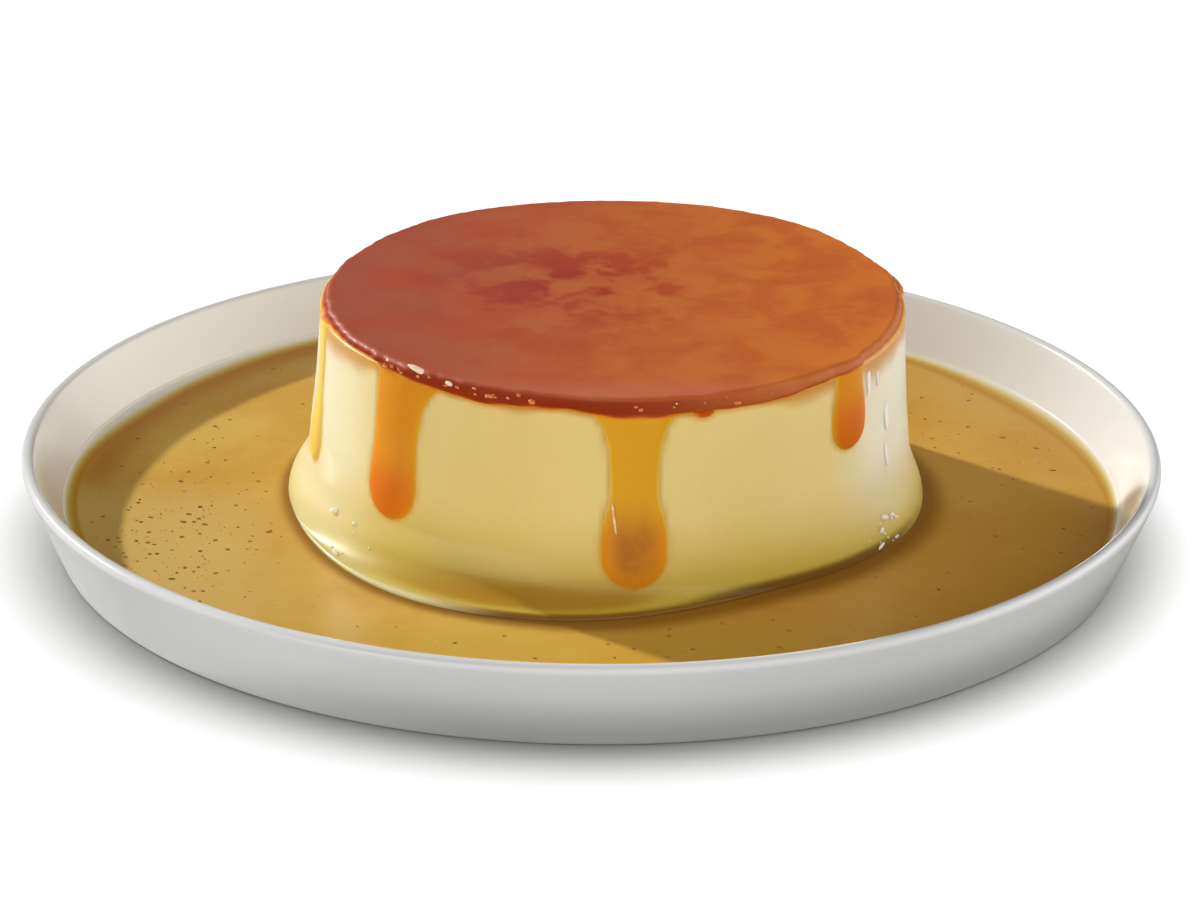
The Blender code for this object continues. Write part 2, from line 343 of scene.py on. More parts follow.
def floor_sheet(name, z, dark, light):
    """One large level matt sheet at a height, of a faintly clouded grey."""
    look = Look(name + "_matt", 0.9, 0.0)
    look.colour(look.clouded(look.noise(6.0, 2.0), (dark, dark, dark), (light, light, light)))
    bm = bmesh.new()
    bmesh.ops.create_grid(bm, x_segments=8, y_segments=8, size=FLOOR_HALF)
    mesh = bpy.data.meshes.new(name)
    bm.to_mesh(mesh)
    bm.free()
    mesh.transform(Matrix.Translation((0.0, 0.0, z)))
    mesh.materials.append(look.material)
    sheet = bpy.data.objects.new(name, mesh)
    bpy.context.scene.collection.objects.link(sheet)
    return sheet


def light_only(lamp, sheet, state):
    """Makes a lamp light nothing but the sheet (INCLUDE), or everything but the sheet (EXCLUDE)."""
    group = bpy.data.collections.new(lamp.name + "_lights")
    group.objects.link(sheet)
    group.collection_objects[0].light_linking.link_state = state
    lamp.light_linking.receiver_collection = group


floor = floor_sheet("floor", FLOOR_Z, 179, 182)
floor.visible_diffuse = False
floor.visible_glossy = False
floor.visible_shadow = False
bounce = floor_sheet("floor_bounce", BOUNCE_Z, 196, 202)
bounce.visible_camera = False
floor_lamp = add_sun("floor_lamp", FLOOR_LAMP_FROM, FLOOR_LAMP, FLOOR_LAMP_SPREAD, WHITE)
light_only(floor_lamp, floor, "INCLUDE")
light_only(key, floor, "EXCLUDE")
print("floor lamp strength", FLOOR_LAMP)

# %% [markdown]
# ## Plate
# A round dish like this is thrown or pressed on a wheel, so its whole shape is one profile that is turned
# about an axis. We write the profile as a handful of arcs, the same ones as in the solid but with more
# points, and let Geometry Nodes turn it: a grid has one column for each step round and one row for each
# profile point, and every grid point is put where its row says and then rotated to its column.

# %% Plate profile
def arc(centre, radius, start, end, count):
    """Points on an arc from angle start to angle end, in degrees."""
    turns = np.radians(np.linspace(start, end, count))
    return [(centre[0] + radius * math.cos(t), centre[1] + radius * math.sin(t)) for t in turns]


def straight(start, end, count):
    """Points between two ends, without the ends."""
    steps = np.linspace(0.0, 1.0, count + 2)[1:-1]
    return [(start[0] + (end[0] - start[0]) * s, start[1] + (end[1] - start[1]) * s) for s in steps]


FILLET = 3.0 * MM
FILLET_RADIUS = 71.54 * MM
LIP = 0.95 * MM
INNER_TILT = 28.8
OUTER_TILT = 22.2
FOOT_RADIUS = 75.4 * MM
FOOT_WIDTH = 4.6 * MM
FOOT_ROUND = 0.8 * MM
RECESS = 0.8 * MM


def plate_profile():
    """The plate's profile from the middle of its floor over the lip to the middle of its underside."""
    inner_arc = arc((FILLET_RADIUS, PLATE_FLOOR_Z + FILLET), FILLET, -90.0, -INNER_TILT, 14)
    lip_arc = arc((PLATE_RADIUS - LIP, PLATE_HEIGHT - LIP), LIP, 180.0 - INNER_TILT, -OUTER_TILT, 18)
    foot_arc = arc((FOOT_RADIUS - FOOT_ROUND, FOOT_ROUND), FOOT_ROUND, -OUTER_TILT, -90.0, 8)
    foot_inside = FOOT_RADIUS - FOOT_WIDTH
    points = [(0.0, PLATE_FLOOR_Z)] + straight((0.0, PLATE_FLOOR_Z), inner_arc[0], 6) + inner_arc
    points += straight(inner_arc[-1], lip_arc[0], 6) + lip_arc
    points += straight(lip_arc[-1], foot_arc[0], 8) + foot_arc
    points += straight(foot_arc[-1], (foot_inside, 0.0), 3)
    points += arc((foot_inside - RECESS, 0.0), RECESS, 0.0, 90.0, 6)
    points += straight(points[-1], (0.0, RECESS), 5) + [(0.0, RECESS)]
    return points


def profile_curve(name, points):
    """A profile as a poly curve in the XZ plane."""
    curve = bpy.data.curves.new(name, "CURVE")
    curve.dimensions = "3D"
    spline = curve.splines.new("POLY")
    spline.points.add(len(points) - 1)
    for point, (r, z) in zip(spline.points, points):
        point.co = (r, 0.0, z, 1.0)
    made = bpy.data.objects.new(name, curve)
    bpy.context.scene.collection.objects.link(made)
    return made


print("plate profile has", len(plate_profile()), "points")

# %% A small kit for Geometry Nodes
# where a random value node has its number sockets
RANDOM_LOW, RANDOM_HIGH, RANDOM_RESULT = 2, 3, 1


class Tree:
    """A Geometry Nodes tree with named inputs, and short ways to add and join its nodes."""

    def __init__(self, name, inputs):
        self.group = bpy.data.node_groups.new(name, "GeometryNodeTree")
        self.names = {}
        self.socket("Geometry", "INPUT", "NodeSocketGeometry")
        for title, kind in inputs:
            self.socket(title, "INPUT", kind)
        self.socket("Geometry", "OUTPUT", "NodeSocketGeometry")
        self.given = self.group.nodes.new("NodeGroupInput").outputs
        self.result = self.group.nodes.new("NodeGroupOutput").inputs["Geometry"]

    def socket(self, title, way, kind):
        made = self.group.interface.new_socket(name=title, in_out=way, socket_type=kind)
        if way == "INPUT":
            self.names[title] = made.identifier

    def node(self, kind, inputs=None, **settings):
        made = self.group.nodes.new(kind)
        for key_name, value in settings.items():
            setattr(made, key_name, value)
        for title, value in (inputs or {}).items():
            if isinstance(value, bpy.types.NodeSocket):
                self.group.links.new(value, made.inputs[title])
            else:
                made.inputs[title].default_value = value
        return made

    def math(self, operation, first, second=0.0):
        return self.node("ShaderNodeMath", {0: first, 1: second}, operation=operation).outputs[0]

    def random(self, low, high):
        """A random number for each point, as the node and as its result."""
        made = self.node("FunctionNodeRandomValue", {RANDOM_LOW: low, RANDOM_HIGH: high}, data_type="FLOAT")
        return made, made.outputs[RANDOM_RESULT]

    def finish(self, geometry, material):
        """Ends a tree with real geometry that carries one material."""
        real = self.node("GeometryNodeRealizeInstances", {"Geometry": geometry}).outputs["Geometry"]
        dressed = self.node("GeometryNodeSetMaterial", {"Geometry": real, "Material": material})
        self.group.links.new(dressed.outputs["Geometry"], self.result)


def grow(tree, thing, values, name):
    """Runs a tree on an object, with values for its named inputs, and keeps the result as a plain mesh."""
    modifier = thing.modifiers.new("Grow", "NODES")
    modifier.node_group = tree.group
    for title, value in values.items():
        modifier[tree.names[title]] = value
    bpy.context.view_layer.update()
    evaluated = thing.evaluated_get(bpy.context.evaluated_depsgraph_get())
    mesh = bpy.data.meshes.new_from_object(evaluated)
    mesh.name = name
    thing.modifiers.remove(modifier)
    bpy.data.objects.remove(thing, do_unlink=True)
    made = bpy.data.objects.new(name, mesh)
    bpy.context.scene.collection.objects.link(made)
    return made


print("the kit's tree class is", Tree.__name__, "and it is run by", grow.__name__)

# %% Finishing a piece
def ease(value):
    """0 below 0, 1 above 1, and an S-curve between."""
    value = np.clip(value, 0.0, 1.0)
    return value * value * (3.0 - 2.0 * value)


def store(mesh, name, values):
    """Keeps one value for each point on the mesh, for the material or a tree to read."""
    attribute = mesh.attributes.new(name, "FLOAT", "POINT")
    attribute.data.foreach_set("value", np.asarray(values, np.float32))


def finish_piece(piece, *nodes, slot):
    """Checks that a piece is closed and faces outwards, and hands it to the frame."""
    bm = bmesh.new()
    bm.from_mesh(piece.data)
    if bm.calc_volume(signed=True) < 0.0:
        bmesh.ops.reverse_faces(bm, faces=bm.faces)
        bm.to_mesh(piece.data)
    open_edges = sum(1 for edge in bm.edges if not edge.is_manifold)
    volume = bm.calc_volume(signed=True)
    bm.free()
    triangles = sum(len(p.vertices) - 2 for p in piece.data.polygons)
    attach(piece, "root")
    if nodes:
        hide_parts(*nodes)
    print(piece.name, "triangles", triangles, "open edges", open_edges, "ml", round(volume * 1e6, 2))


print("ease turns 0.25, 0.5 and 0.75 into", ease(np.array([0.25, 0.5, 0.75])).round(2))

# %% The turning tree
WELD_DISTANCE = 0.001 * MM


def turning_tree():
    """Turns the profile curve it is given about +Z."""
    tree = Tree("turn_profile", (("Steps", "NodeSocketInt"), ("Glaze", "NodeSocketMaterial"),
                                 ("Bare clay", "NodeSocketMaterial"), ("Bare below", "NodeSocketFloat")))
    profile = tree.given["Geometry"]
    count = tree.node("GeometryNodeAttributeDomainSize", {"Geometry": profile}, component="CURVE")
    rows = count.outputs["Point Count"]
    columns = tree.math("ADD", tree.given["Steps"], 1.0)
    grid = tree.node("GeometryNodeMeshGrid", {"Size X": 1.0, "Size Y": 1.0, "Vertices X": columns,
                                              "Vertices Y": rows}).outputs["Mesh"]
    index = tree.node("GeometryNodeInputIndex").outputs["Index"]
    row = tree.math("MODULO", index, rows)
    column = tree.math("FLOOR", tree.math("DIVIDE", index, rows))
    place = tree.node("GeometryNodeInputPosition").outputs["Position"]
    sample = tree.node("GeometryNodeSampleIndex", {"Geometry": profile, "Value": place, "Index": row},
                       data_type="FLOAT_VECTOR", domain="POINT").outputs["Value"]
    turn = tree.math("MULTIPLY", tree.math("DIVIDE", column, tree.given["Steps"]), 2.0 * math.pi)
    turned = tree.node("ShaderNodeVectorRotate", {"Vector": sample, "Angle": turn}, rotation_type="Z_AXIS")
    moved = tree.node("GeometryNodeSetPosition", {"Geometry": grid, "Position": turned.outputs["Vector"]})
    welded = tree.node("GeometryNodeMergeByDistance", {"Geometry": moved.outputs["Geometry"],
                                                       "Distance": WELD_DISTANCE})
    smooth = tree.node("GeometryNodeSetShadeSmooth", {"Geometry": welded.outputs["Geometry"]})
    bare = tree.node("GeometryNodeSetMaterial", {"Geometry": smooth.outputs["Geometry"],
                                                 "Material": tree.given["Bare clay"]})
    real = tree.node("GeometryNodeRealizeInstances", {"Geometry": bare.outputs["Geometry"]})
    height = tree.node("ShaderNodeSeparateXYZ", {"Vector": place}).outputs["Z"]
    above = tree.math("GREATER_THAN", height, tree.given["Bare below"])
    dressed = tree.node("GeometryNodeSetMaterial", {
        "Geometry": real.outputs["Geometry"], "Selection": above, "Material": tree.given["Glaze"]})
    tree.group.links.new(dressed.outputs["Geometry"], tree.result)
    return tree


turning = turning_tree()
print("turning tree has", len(turning.group.nodes), "nodes")

# %% [markdown]
# ## Porcelain
# Glazed porcelain is a white body under clear glass. The shader gets a nearly white, faintly uneven colour,
# a low roughness, and a very shallow ripple, because a real glaze is never optically flat.
# The outside is painted greyer towards the foot, where little light comes back from the floor, and more
# on the right than on the left, where a lamp lights it: this is painted shade, and every point there stores
# how much of it it gets. The foot ring is wiped clean before firing, so it is bare, rough clay.

# %% Porcelain materials
def porcelain():
    look = Look("porcelain_glaze", 0.2)
    white = look.clouded(look.noise(22.0), (228, 230, 231), (234, 236, 237))
    # the lower outside is mixed to grey: painted shade, darkest at the foot on the right
    look.colour(look.mix(look.stored("painted_low_shade"), white, (176, 179, 176)))
    look.coat(0.3, 0.1)
    look.bump(look.noise(130.0, 2.0), 0.08 * MM, 0.4)
    return look.material


def bare_clay():
    look = Look("porcelain_foot_ring", 0.75, 0.3)
    grain = look.noise(900.0, 4.0)
    look.colour(look.clouded(grain, (205, 196, 180), (226, 220, 208)))
    look.bump(grain, 0.1 * MM, 0.6)
    return look.material


glaze, clay = porcelain(), bare_clay()
print("plate finishes:", glaze.name, "and", clay.name)

# %% Make the plate
PLATE_STEPS = 216
BARE_BELOW = 0.02 * MM
BODY_EDGE = 74.2 * MM     # just inside the plate's outer face, at the table
BODY_FLARE = 0.42
# painted shade on the plate's outside: greyer towards the foot, and more on the right
SHADE_BELOW = 10.0 * MM
SHADE_FADE = 9.0 * MM
SHADE_FROM_X = -58.0 * MM
SHADE_WIDTH = 50.0 * MM

plate = grow(turning, profile_curve("plate_profile", plate_profile()),
             {"Steps": PLATE_STEPS, "Glaze": glaze, "Bare clay": clay, "Bare below": BARE_BELOW},
             "plate_glazed")
x, y, z = np.array([v.co for v in plate.data.vertices]).T
# painted shade on the outside: greyer towards the foot, more on the right than on the left
outside = np.hypot(x, y) > BODY_EDGE + BODY_FLARE * z
low_down = ease((SHADE_BELOW - z) / SHADE_FADE)
towards_right = 0.1 + 0.9 * ease((x - SHADE_FROM_X) / SHADE_WIDTH)
store(plate.data, "painted_low_shade", outside * (low_down * towards_right))
finish_piece(plate, "plate", slot="porcelain")

# %% [markdown]
# ## Custard
# Baked custard is soft enough to sag. Its wall leans in towards the top, as the mould did, and its lowest
# centimetre swells into a foot where the weight pushes it out over the plate. In front on the left the foot
# runs out into a thin lip, custard that had crept over the mould's edge. We work out the radius of the wall
# for any angle and height with one function, because the caramel film and the syrup have to follow it too.

# %% The custard's wall
CUSTARD_TOP_RADIUS = 40.2 * MM
SHOULDER = 0.6 * MM
CREASE_Z = 11.0 * MM
CREASE_RADIUS = 42.5 * MM
FOOT_Z = 5.3 * MM
FOOT_SWELL = 2.4 * MM
FOOT_LEAN = 0.45 * MM
FOOT_UNDERCUT = 1.2 * MM
FOOT_TUCK = 1.7 * MM
LIP_REACH = 5.4 * MM
LIP_TOP_Z = 8.5 * MM
LIP_EDGE_Z = 5.8 * MM
LIP_BEAD = 0.28 * MM
WALL_WAVE = 0.12 * MM
CREASE_SOFTNESS = 1.0 * MM


def softest(first, second, blend):
    """The larger of two values, with the change from one to the other rounded over blend."""
    near = np.clip(1.0 - np.abs(first - second) / blend, 0.0, 1.0)
    return np.maximum(first, second) + near * near * blend / 4.0


def turn_of(angle):
    """An angle in degrees, from -180 at the back over the left to 180."""
    return np.degrees((angle + math.pi) % (2.0 * math.pi) - math.pi)


def foot_swell(angle):
    """How far the foot spreads: most on the left, least in front on the right."""
    tuck = np.cos(0.5 * math.pi * np.minimum(np.abs(turn_of(angle) - 15.0) / 60.0, 1.0)) ** 2
    return FOOT_SWELL - FOOT_LEAN * np.sin(angle) - FOOT_TUCK * tuck


def lip_share(angle):
    """How much of the lip there is: it grows from the left side and dies away past the front."""
    turn = turn_of(angle)
    return ease((turn + 80.0) / 60.0) * (1.0 - ease((turn + 12.0) / 46.0))


def wall_radius(angle, z):
    """Radius of the custard's wall, for arrays of angles and heights. Angle 0 is the front."""
    rise = (z - CREASE_Z) / (CUSTARD_TOP_Z - CREASE_Z)
    straight_wall = CREASE_RADIUS + (CUSTARD_TOP_RADIUS - CREASE_RADIUS) * rise
    drop = np.clip((CREASE_Z - z) / (CREASE_Z - FOOT_Z), -0.5, 1.0)
    foot = CREASE_RADIUS + foot_swell(angle) * np.sin(0.5 * math.pi * drop)
    flare = np.clip((LIP_TOP_Z - z) / (LIP_TOP_Z - LIP_EDGE_Z), 0.0, 1.0)
    lip = LIP_REACH * lip_share(angle) * (1.0 - np.sqrt(1.0 - flare * flare))
    wave = WALL_WAVE * (np.sin(3.0 * angle + 0.7) + 0.6 * np.sin(5.0 * angle + 2.0))
    return softest(straight_wall, foot, CREASE_SOFTNESS) + lip + wave


print("wall radius at the front, at 5, 11 and 30 mm:",
      [round(float(wall_radius(0.0, z * MM)) / MM, 2) for z in (5, 11, 30)])

# %% [markdown]
# ## Where the caramel runs
# Caramel is thick where it could gather: over the rim, down the middle of each run and in the bulb at its
# end. We describe it as a film with a thickness for every angle and height. Each run gives a distance that
# is positive inside its outline, the apron over the rim gives another, and a soft maximum melts them
# together, so the joins get the rounded corners that surface tension makes. Where the thickness is negative
# there is no film.

# %% Runs
class Run:
    """One run of caramel: where it is, how wide, how far down, how thick and how dark."""

    def __init__(self, angle, lean, flare, neck, bulb, bulb_z, tip_z, thickness, shade_top, shade_bulb,
                 murk=0.0):
        self.angle = math.radians(angle)
        self.lean = math.radians(lean)
        self.flare = flare * MM
        self.neck = neck * MM
        self.bulb = bulb * MM
        self.bulb_z = bulb_z * MM
        self.tip_z = tip_z * MM
        self.thickness = thickness * MM
        self.shade_top = shade_top
        self.shade_bulb = shade_bulb
        self.murk = murk


# angle and lean in degrees; flare, neck and bulb are half widths in millimetres
RUNS = (
    Run(-76.5, 0.0, 2.0, 1.6, 2.9, 16.5, 12.8, 0.7, 0.0, 0.1),
    Run(-45.0, 4.0, 6.4, 4.0, 4.4, 16.5, 12.2, 1.3, 0.70, 1.2),
    Run(4.2, 0.0, 6.6, 3.1, 4.4, 14.0, 7.9, 1.4, 0.40, 0.78, 0.7),
    Run(16.6, 0.0, 2.2, 1.6, 1.6, 32.4, 31.2, 1.0, 1.6, 1.6),
    Run(50.2, 0.0, 3.0, 2.1, 3.4, 26.0, 21.8, 1.4, 0.75, 1.3),
    Run(104.0, -2.0, 5.0, 2.6, 3.3, 21.0, 17.0, 1.2, 0.7, 1.2),
    Run(158.0, 3.0, 6.0, 3.2, 4.2, 14.5, 9.6, 1.4, 0.5, 1.1),
    Run(-122.0, -3.0, 4.6, 2.4, 3.2, 24.5, 20.4, 1.2, 0.8, 1.4),
)
NECK_RISE = 8.0 * MM      # the neck widens into the bulb over this height
FLARE_DEPTH = 2.6 * MM    # how fast the flare under the rim narrows


def dome(value):
    """How a film's thickness rises from its edge, 0 at the edge and 1 well inside."""
    value = np.clip(value, 0.0, 1.0)
    return np.sqrt(1.0 - (1.0 - value) ** 2)


def run_distance(run, angle, z):
    """How far inside a run's outline a point lies, with the run's half width and its swell there."""
    depth = np.maximum(CUSTARD_TOP_Z - z, 0.0)
    flare = np.exp(-depth / FLARE_DEPTH)
    swell = ease((run.bulb_z + NECK_RISE - z) / NECK_RISE)
    half = run.neck + (run.flare - run.neck) * flare + (run.bulb - run.neck) * swell
    off = (angle - run.angle - run.lean * flare + math.pi) % (2.0 * math.pi) - math.pi
    across = np.abs(off) * wall_radius(angle, z)
    round_z = run.tip_z + run.bulb
    tip = run.bulb - np.hypot(across, np.maximum(round_z - z, 0.0))
    inside = np.where(z < round_z, tip, half - across)
    return inside, half, swell


print("runs:", len(RUNS), "and the longest ends at", round(min(run.tip_z for run in RUNS) / MM, 1), "mm")

# %% Apron over the rim
APRON_THICKNESS = 0.55 * MM
APRON_SHORTEST = 0.40 * MM
APRON_FRONT = 1.35 * MM
APRON_BACK = 0.7 * MM
APRON_WAVE = 0.18 * MM
OUTSIDE_SLOPE = 0.55
APRON_EDGE = 1.2 * MM     # the apron is at its full thickness this far in from its edge
FILM_BLEND = 0.5 * MM
HIDDEN = -0.45 * MM
APRON_SHADE = 2.3
DARKENING = 6.0 * MM     # a run turns to its bulb's shade over this height


def apron_bottom(angle):
    """Height of the apron's wavy lower edge: low in front and at the back, almost nothing at the sides."""
    turn = np.abs(turn_of(angle))
    drop = APRON_FRONT * (1.0 - ease((turn - 28.0) / 30.0)) + APRON_BACK * ease((turn - 100.0) / 30.0)
    wave = APRON_WAVE * (np.sin(9.0 * angle) + np.sin(14.0 * angle + 1.0))
    wave += 0.3 * APRON_WAVE * (np.sin(31.0 * angle + 2.0) + np.sin(53.0 * angle + np.sin(5.0 * angle)))
    drop += wave * drop / APRON_FRONT
    return CUSTARD_TOP_Z + APRON_SHORTEST - drop


def film(angle, z):
    """Thickness, shade and murk of the caramel on the wall, for arrays of angles and heights."""
    inside = z - apron_bottom(angle)
    thickness = np.where(inside > 0.0, APRON_THICKNESS * dome(inside / APRON_EDGE), OUTSIDE_SLOPE * inside)
    shade = ease(inside / (0.65 * MM) + 0.38) * APRON_SHADE
    murk = np.zeros_like(thickness)
    for run in RUNS:
        inside, half, swell = run_distance(run, angle, z)
        crown = run.thickness * (0.55 + 0.45 * swell)
        flow = np.where(inside > 0.0, crown * dome(inside / half), OUTSIDE_SLOPE * inside)
        thickness = softest(thickness, flow, FILM_BLEND)
        lower = ease((run.bulb_z + DARKENING - z) / DARKENING)
        dark = run.shade_top + (run.shade_bulb - run.shade_top) * lower
        dark = dark * ease(inside / (0.7 * MM) + 0.45) * (0.8 + 0.2 * dome(inside / half))
        shade = np.maximum(shade, dark)
        murk = np.maximum(murk, run.murk * swell * ease(inside / (0.8 * half)))
    return np.maximum(thickness, HIDDEN), shade, murk


centre_film = film(np.radians(4.2), np.array([32.0, 20.0, 14.0]) * MM)
print("centre run is", (centre_film[0] / MM).round(2), "mm thick at 32, 20 and 14 mm")

# %% [markdown]
# ## Custard body
# The body is a sheet of rings: each row has one point for every column round. Rows are close together where
# the shape turns, at the shoulder, the crease and under the foot. A little smooth noise is added to the
# wall, since no custard leaves its mould perfectly, and each point stores how near the caramel's outline it
# is, so the material can stain the custard there.

# %% A mesh from rings
def ring_mesh(name, rows, closed_ends=True):
    """A closed mesh from rows of ring points, an array (rows, columns, 3); both ends close in a pole."""
    count, columns = rows.shape[:2]
    points = rows.reshape(-1, 3).tolist()
    faces = []
    for i in range(count - 1):
        for j in range(columns):
            k = (j + 1) % columns
            faces.append((i * columns + j, i * columns + k, (i + 1) * columns + k, (i + 1) * columns + j))
    if closed_ends:
        first = len(points)
        points.append(rows[0].mean(axis=0).tolist())
        points.append(rows[-1].mean(axis=0).tolist())
        last_row = (count - 1) * columns
        for j in range(columns):
            k = (j + 1) % columns
            faces.append((first, k, j))
            faces.append((first + 1, last_row + j, last_row + k))
    mesh = bpy.data.meshes.new(name)
    mesh.from_pydata(points, [], faces)
    mesh.shade_smooth()
    return mesh


def around(radius, z, angles, centre_x=FLAN_X):
    """Ring points from radii and heights; angle 0 faces the viewer and angles turn towards the right."""
    radius = np.broadcast_to(radius, angles.shape)
    z = np.broadcast_to(z, angles.shape)
    return np.stack([centre_x + radius * np.sin(angles), -radius * np.cos(angles), z], axis=-1)


def rough_noise(points, scale, seed):
    """Smooth noise between -1 and 1 for an array of points; scale is per metre."""
    shift = Vector((seed * 7.1, seed * 3.3, seed * 1.7))
    flat = points.reshape(-1, 3)
    values = [noise.noise(Vector(p) * scale + shift) for p in flat]
    return np.array(values).reshape(points.shape[:-1])


def new_piece(name, mesh, *materials):
    piece = bpy.data.objects.new(name, mesh)
    for material in materials:
        mesh.materials.append(material)
    bpy.context.scene.collection.objects.link(piece)
    return piece


top_edge = around(CUSTARD_TOP_RADIUS, CUSTARD_TOP_Z, np.radians([0.0, 90.0]))
print("front and right of the custard's top edge in mm:", (top_edge / MM).round(1).tolist())

# %% Custard mesh
CUSTARD_COLUMNS = 300
CUSTARD_BOTTOM_Z = PLATE_FLOOR_Z + 0.05 * MM
WALL_RELIEF = 0.10 * MM
SEEP_REACH = 4.2 * MM
STAIN_REACH = 0.45 * MM
# the lip's bare edge is painted paler where lit, and the dark line is partly painted shadow
EDGE_WIDTH = 1.3 * MM     # of the lip's bare edge and of the dark line where the foot stands in syrup


def custard_rows(angles):
    """Ring rows of the custard from its underside to the middle of its top, with each row's wall height."""
    widest = wall_radius(angles, FOOT_Z)
    rows = []
    for share in (0.02, 0.4, 0.8):
        rows.append((widest * share, CUSTARD_BOTTOM_Z))
    for turn in np.radians(np.linspace(0.0, 80.0, 6)):
        z = CUSTARD_BOTTOM_Z + (FOOT_Z - CUSTARD_BOTTOM_Z) * math.sin(turn)
        rows.append((widest - FOOT_UNDERCUT * (1.0 - math.sin(turn)), z))
    rows.append((widest, FOOT_Z))
    rows.append((widest, LIP_EDGE_Z - 0.25 * MM))
    rows.append((widest - 0.05 * MM * lip_share(angles), LIP_EDGE_Z - 0.08 * MM))
    wall_end = CUSTARD_TOP_Z - SHOULDER
    for turn in np.linspace(0.04, 0.5 * math.pi, 28):
        z = LIP_EDGE_Z + (LIP_TOP_Z - LIP_EDGE_Z) * (1.0 - math.cos(turn))
        bead = LIP_BEAD * lip_share(angles) * math.exp(-((math.sin(turn) - 0.13) / 0.10) ** 2)
        rows.append((wall_radius(angles, z), z + bead))
    heights = np.concatenate([np.linspace(LIP_TOP_Z, CREASE_Z + 2.0 * MM, 12)[1:-1],
                              np.linspace(CREASE_Z + 2.0 * MM, wall_end, 50)])
    for z in heights:
        rows.append((wall_radius(angles, z), z))
    shoulder = wall_radius(angles, wall_end) - SHOULDER
    for turn in np.radians(np.linspace(12.0, 90.0, 7)):
        rows.append((shoulder + SHOULDER * math.cos(turn), wall_end + SHOULDER * math.sin(turn)))
    for share in (0.97, 0.7, 0.35, 0.03):
        rows.append((shoulder * share, CUSTARD_TOP_Z))
    return rows


def pooled_and_shaded(angles, points):
    """Syrup and painted shade on the lip, the lip's bare edge painted lit, and the foot's dark edge."""
    radius = np.hypot(points[..., 0] - FLAN_X, points[..., 1])
    from_edge = wall_radius(angles, LIP_EDGE_Z) - radius
    turn = turn_of(angles)
    share = ease((lip_share(angles) - 0.2) / 0.7)
    # syrup on the lip, with painted shade growing towards the front, where the custard's shadow falls
    inside = ease((from_edge - 1.0 * MM) / (2.2 * MM)) * (0.5 + 0.5 * ease((turn + 46.0) / 30.0))
    low = 1.0 - ease((points[..., 2] - 5.6 * MM) / (5.4 * MM))
    above = points[..., 2] > SYRUP_Z
    at_edge = np.exp(-(from_edge / EDGE_WIDTH) ** 2)
    # the bare lip edge is painted paler only where the key lamp reaches it
    bare = at_edge * (1.0 - ease((turn + 34.0) / 20.0))
    # the foot's dark edge, from the front to the right: syrup stain and painted shadow
    soaked_and_shaded = at_edge * ease((turn + 40.0) / 16.0) * (1.0 - ease((turn - 50.0) / 40.0))
    soaked_and_shaded *= 1.0 - ease((points[..., 2] - 6.2 * MM) / (1.6 * MM))
    return inside * low * share * above, bare * share * above, soaked_and_shaded * above


def custard_mesh():
    angles = np.linspace(0.0, 2.0 * math.pi, CUSTARD_COLUMNS, endpoint=False)
    rows = [around(radius, z, angles) for radius, z in custard_rows(angles)]
    points = np.array(rows)
    heights = points[..., 2]
    relief = rough_noise(points * np.array([1.0, 1.0, 0.45]), 95.0, 1.0)
    relief += 0.4 * rough_noise(points, 260.0, 2.0)
    on_wall = ease((heights - 5.5 * MM) / (2.0 * MM)) * ease((CUSTARD_TOP_Z - heights) / (1.5 * MM))
    outward = np.stack([np.sin(angles), -np.cos(angles), np.zeros_like(angles)], axis=-1)
    points = points + outward[None] * (relief * on_wall * WALL_RELIEF)[..., None]
    mesh = ring_mesh("custard_body", points)
    turned = np.broadcast_to(angles, heights.shape)
    thickness = film(turned, heights)[0]
    stain = ease(thickness / STAIN_REACH + 1.0)
    store(mesh, "stain", np.concatenate([stain.ravel(), [0.0, 1.0]]))
    sideways = ease((np.abs(turn_of(turned)) - 25.0) / 25.0)
    ragged = rough_noise(points * np.array([1.0, 1.0, 0.3]), 160.0, 12.0)
    reach = SEEP_REACH * (0.5 + 0.5 * sideways) * (1.0 + 0.9 * ragged)
    seep = ease(1.0 - (CUSTARD_TOP_Z - heights) / reach)
    store(mesh, "seep", np.concatenate([seep.ravel(), [0.0, 1.0]]))
    # lip syrup with painted shade, lip edge painted lit, foot's dark edge partly painted shadow
    for name, values in zip(("pooled_and_shaded", "lip_edge_lit", "soaked_shaded_edge"), pooled_and_shaded(turned, points)):
        store(mesh, name, np.concatenate([values.ravel(), [0.0, 0.0]]))
    return mesh


custard_skin = custard_mesh()
print("custard mesh has", len(custard_skin.polygons), "faces in rings of", CUSTARD_COLUMNS)

# %% [markdown]
# ## What custard looks like
# Custard is milk and egg: light goes in, wanders a few millimetres and comes out warmer, because the egg
# takes out the blue. That is subsurface scattering, so the shader gets a pale base colour and a red radius
# that is longer than the blue one. The foot is a deeper yellow, partly syrup that crept up into it and partly
# painted shade and syrup-coloured bounce light. The left side is painted paler where the key lamp lights it,
# and the right side paler and cooler as painted light from the side. A wet skin gives the sharp little
# highlights.

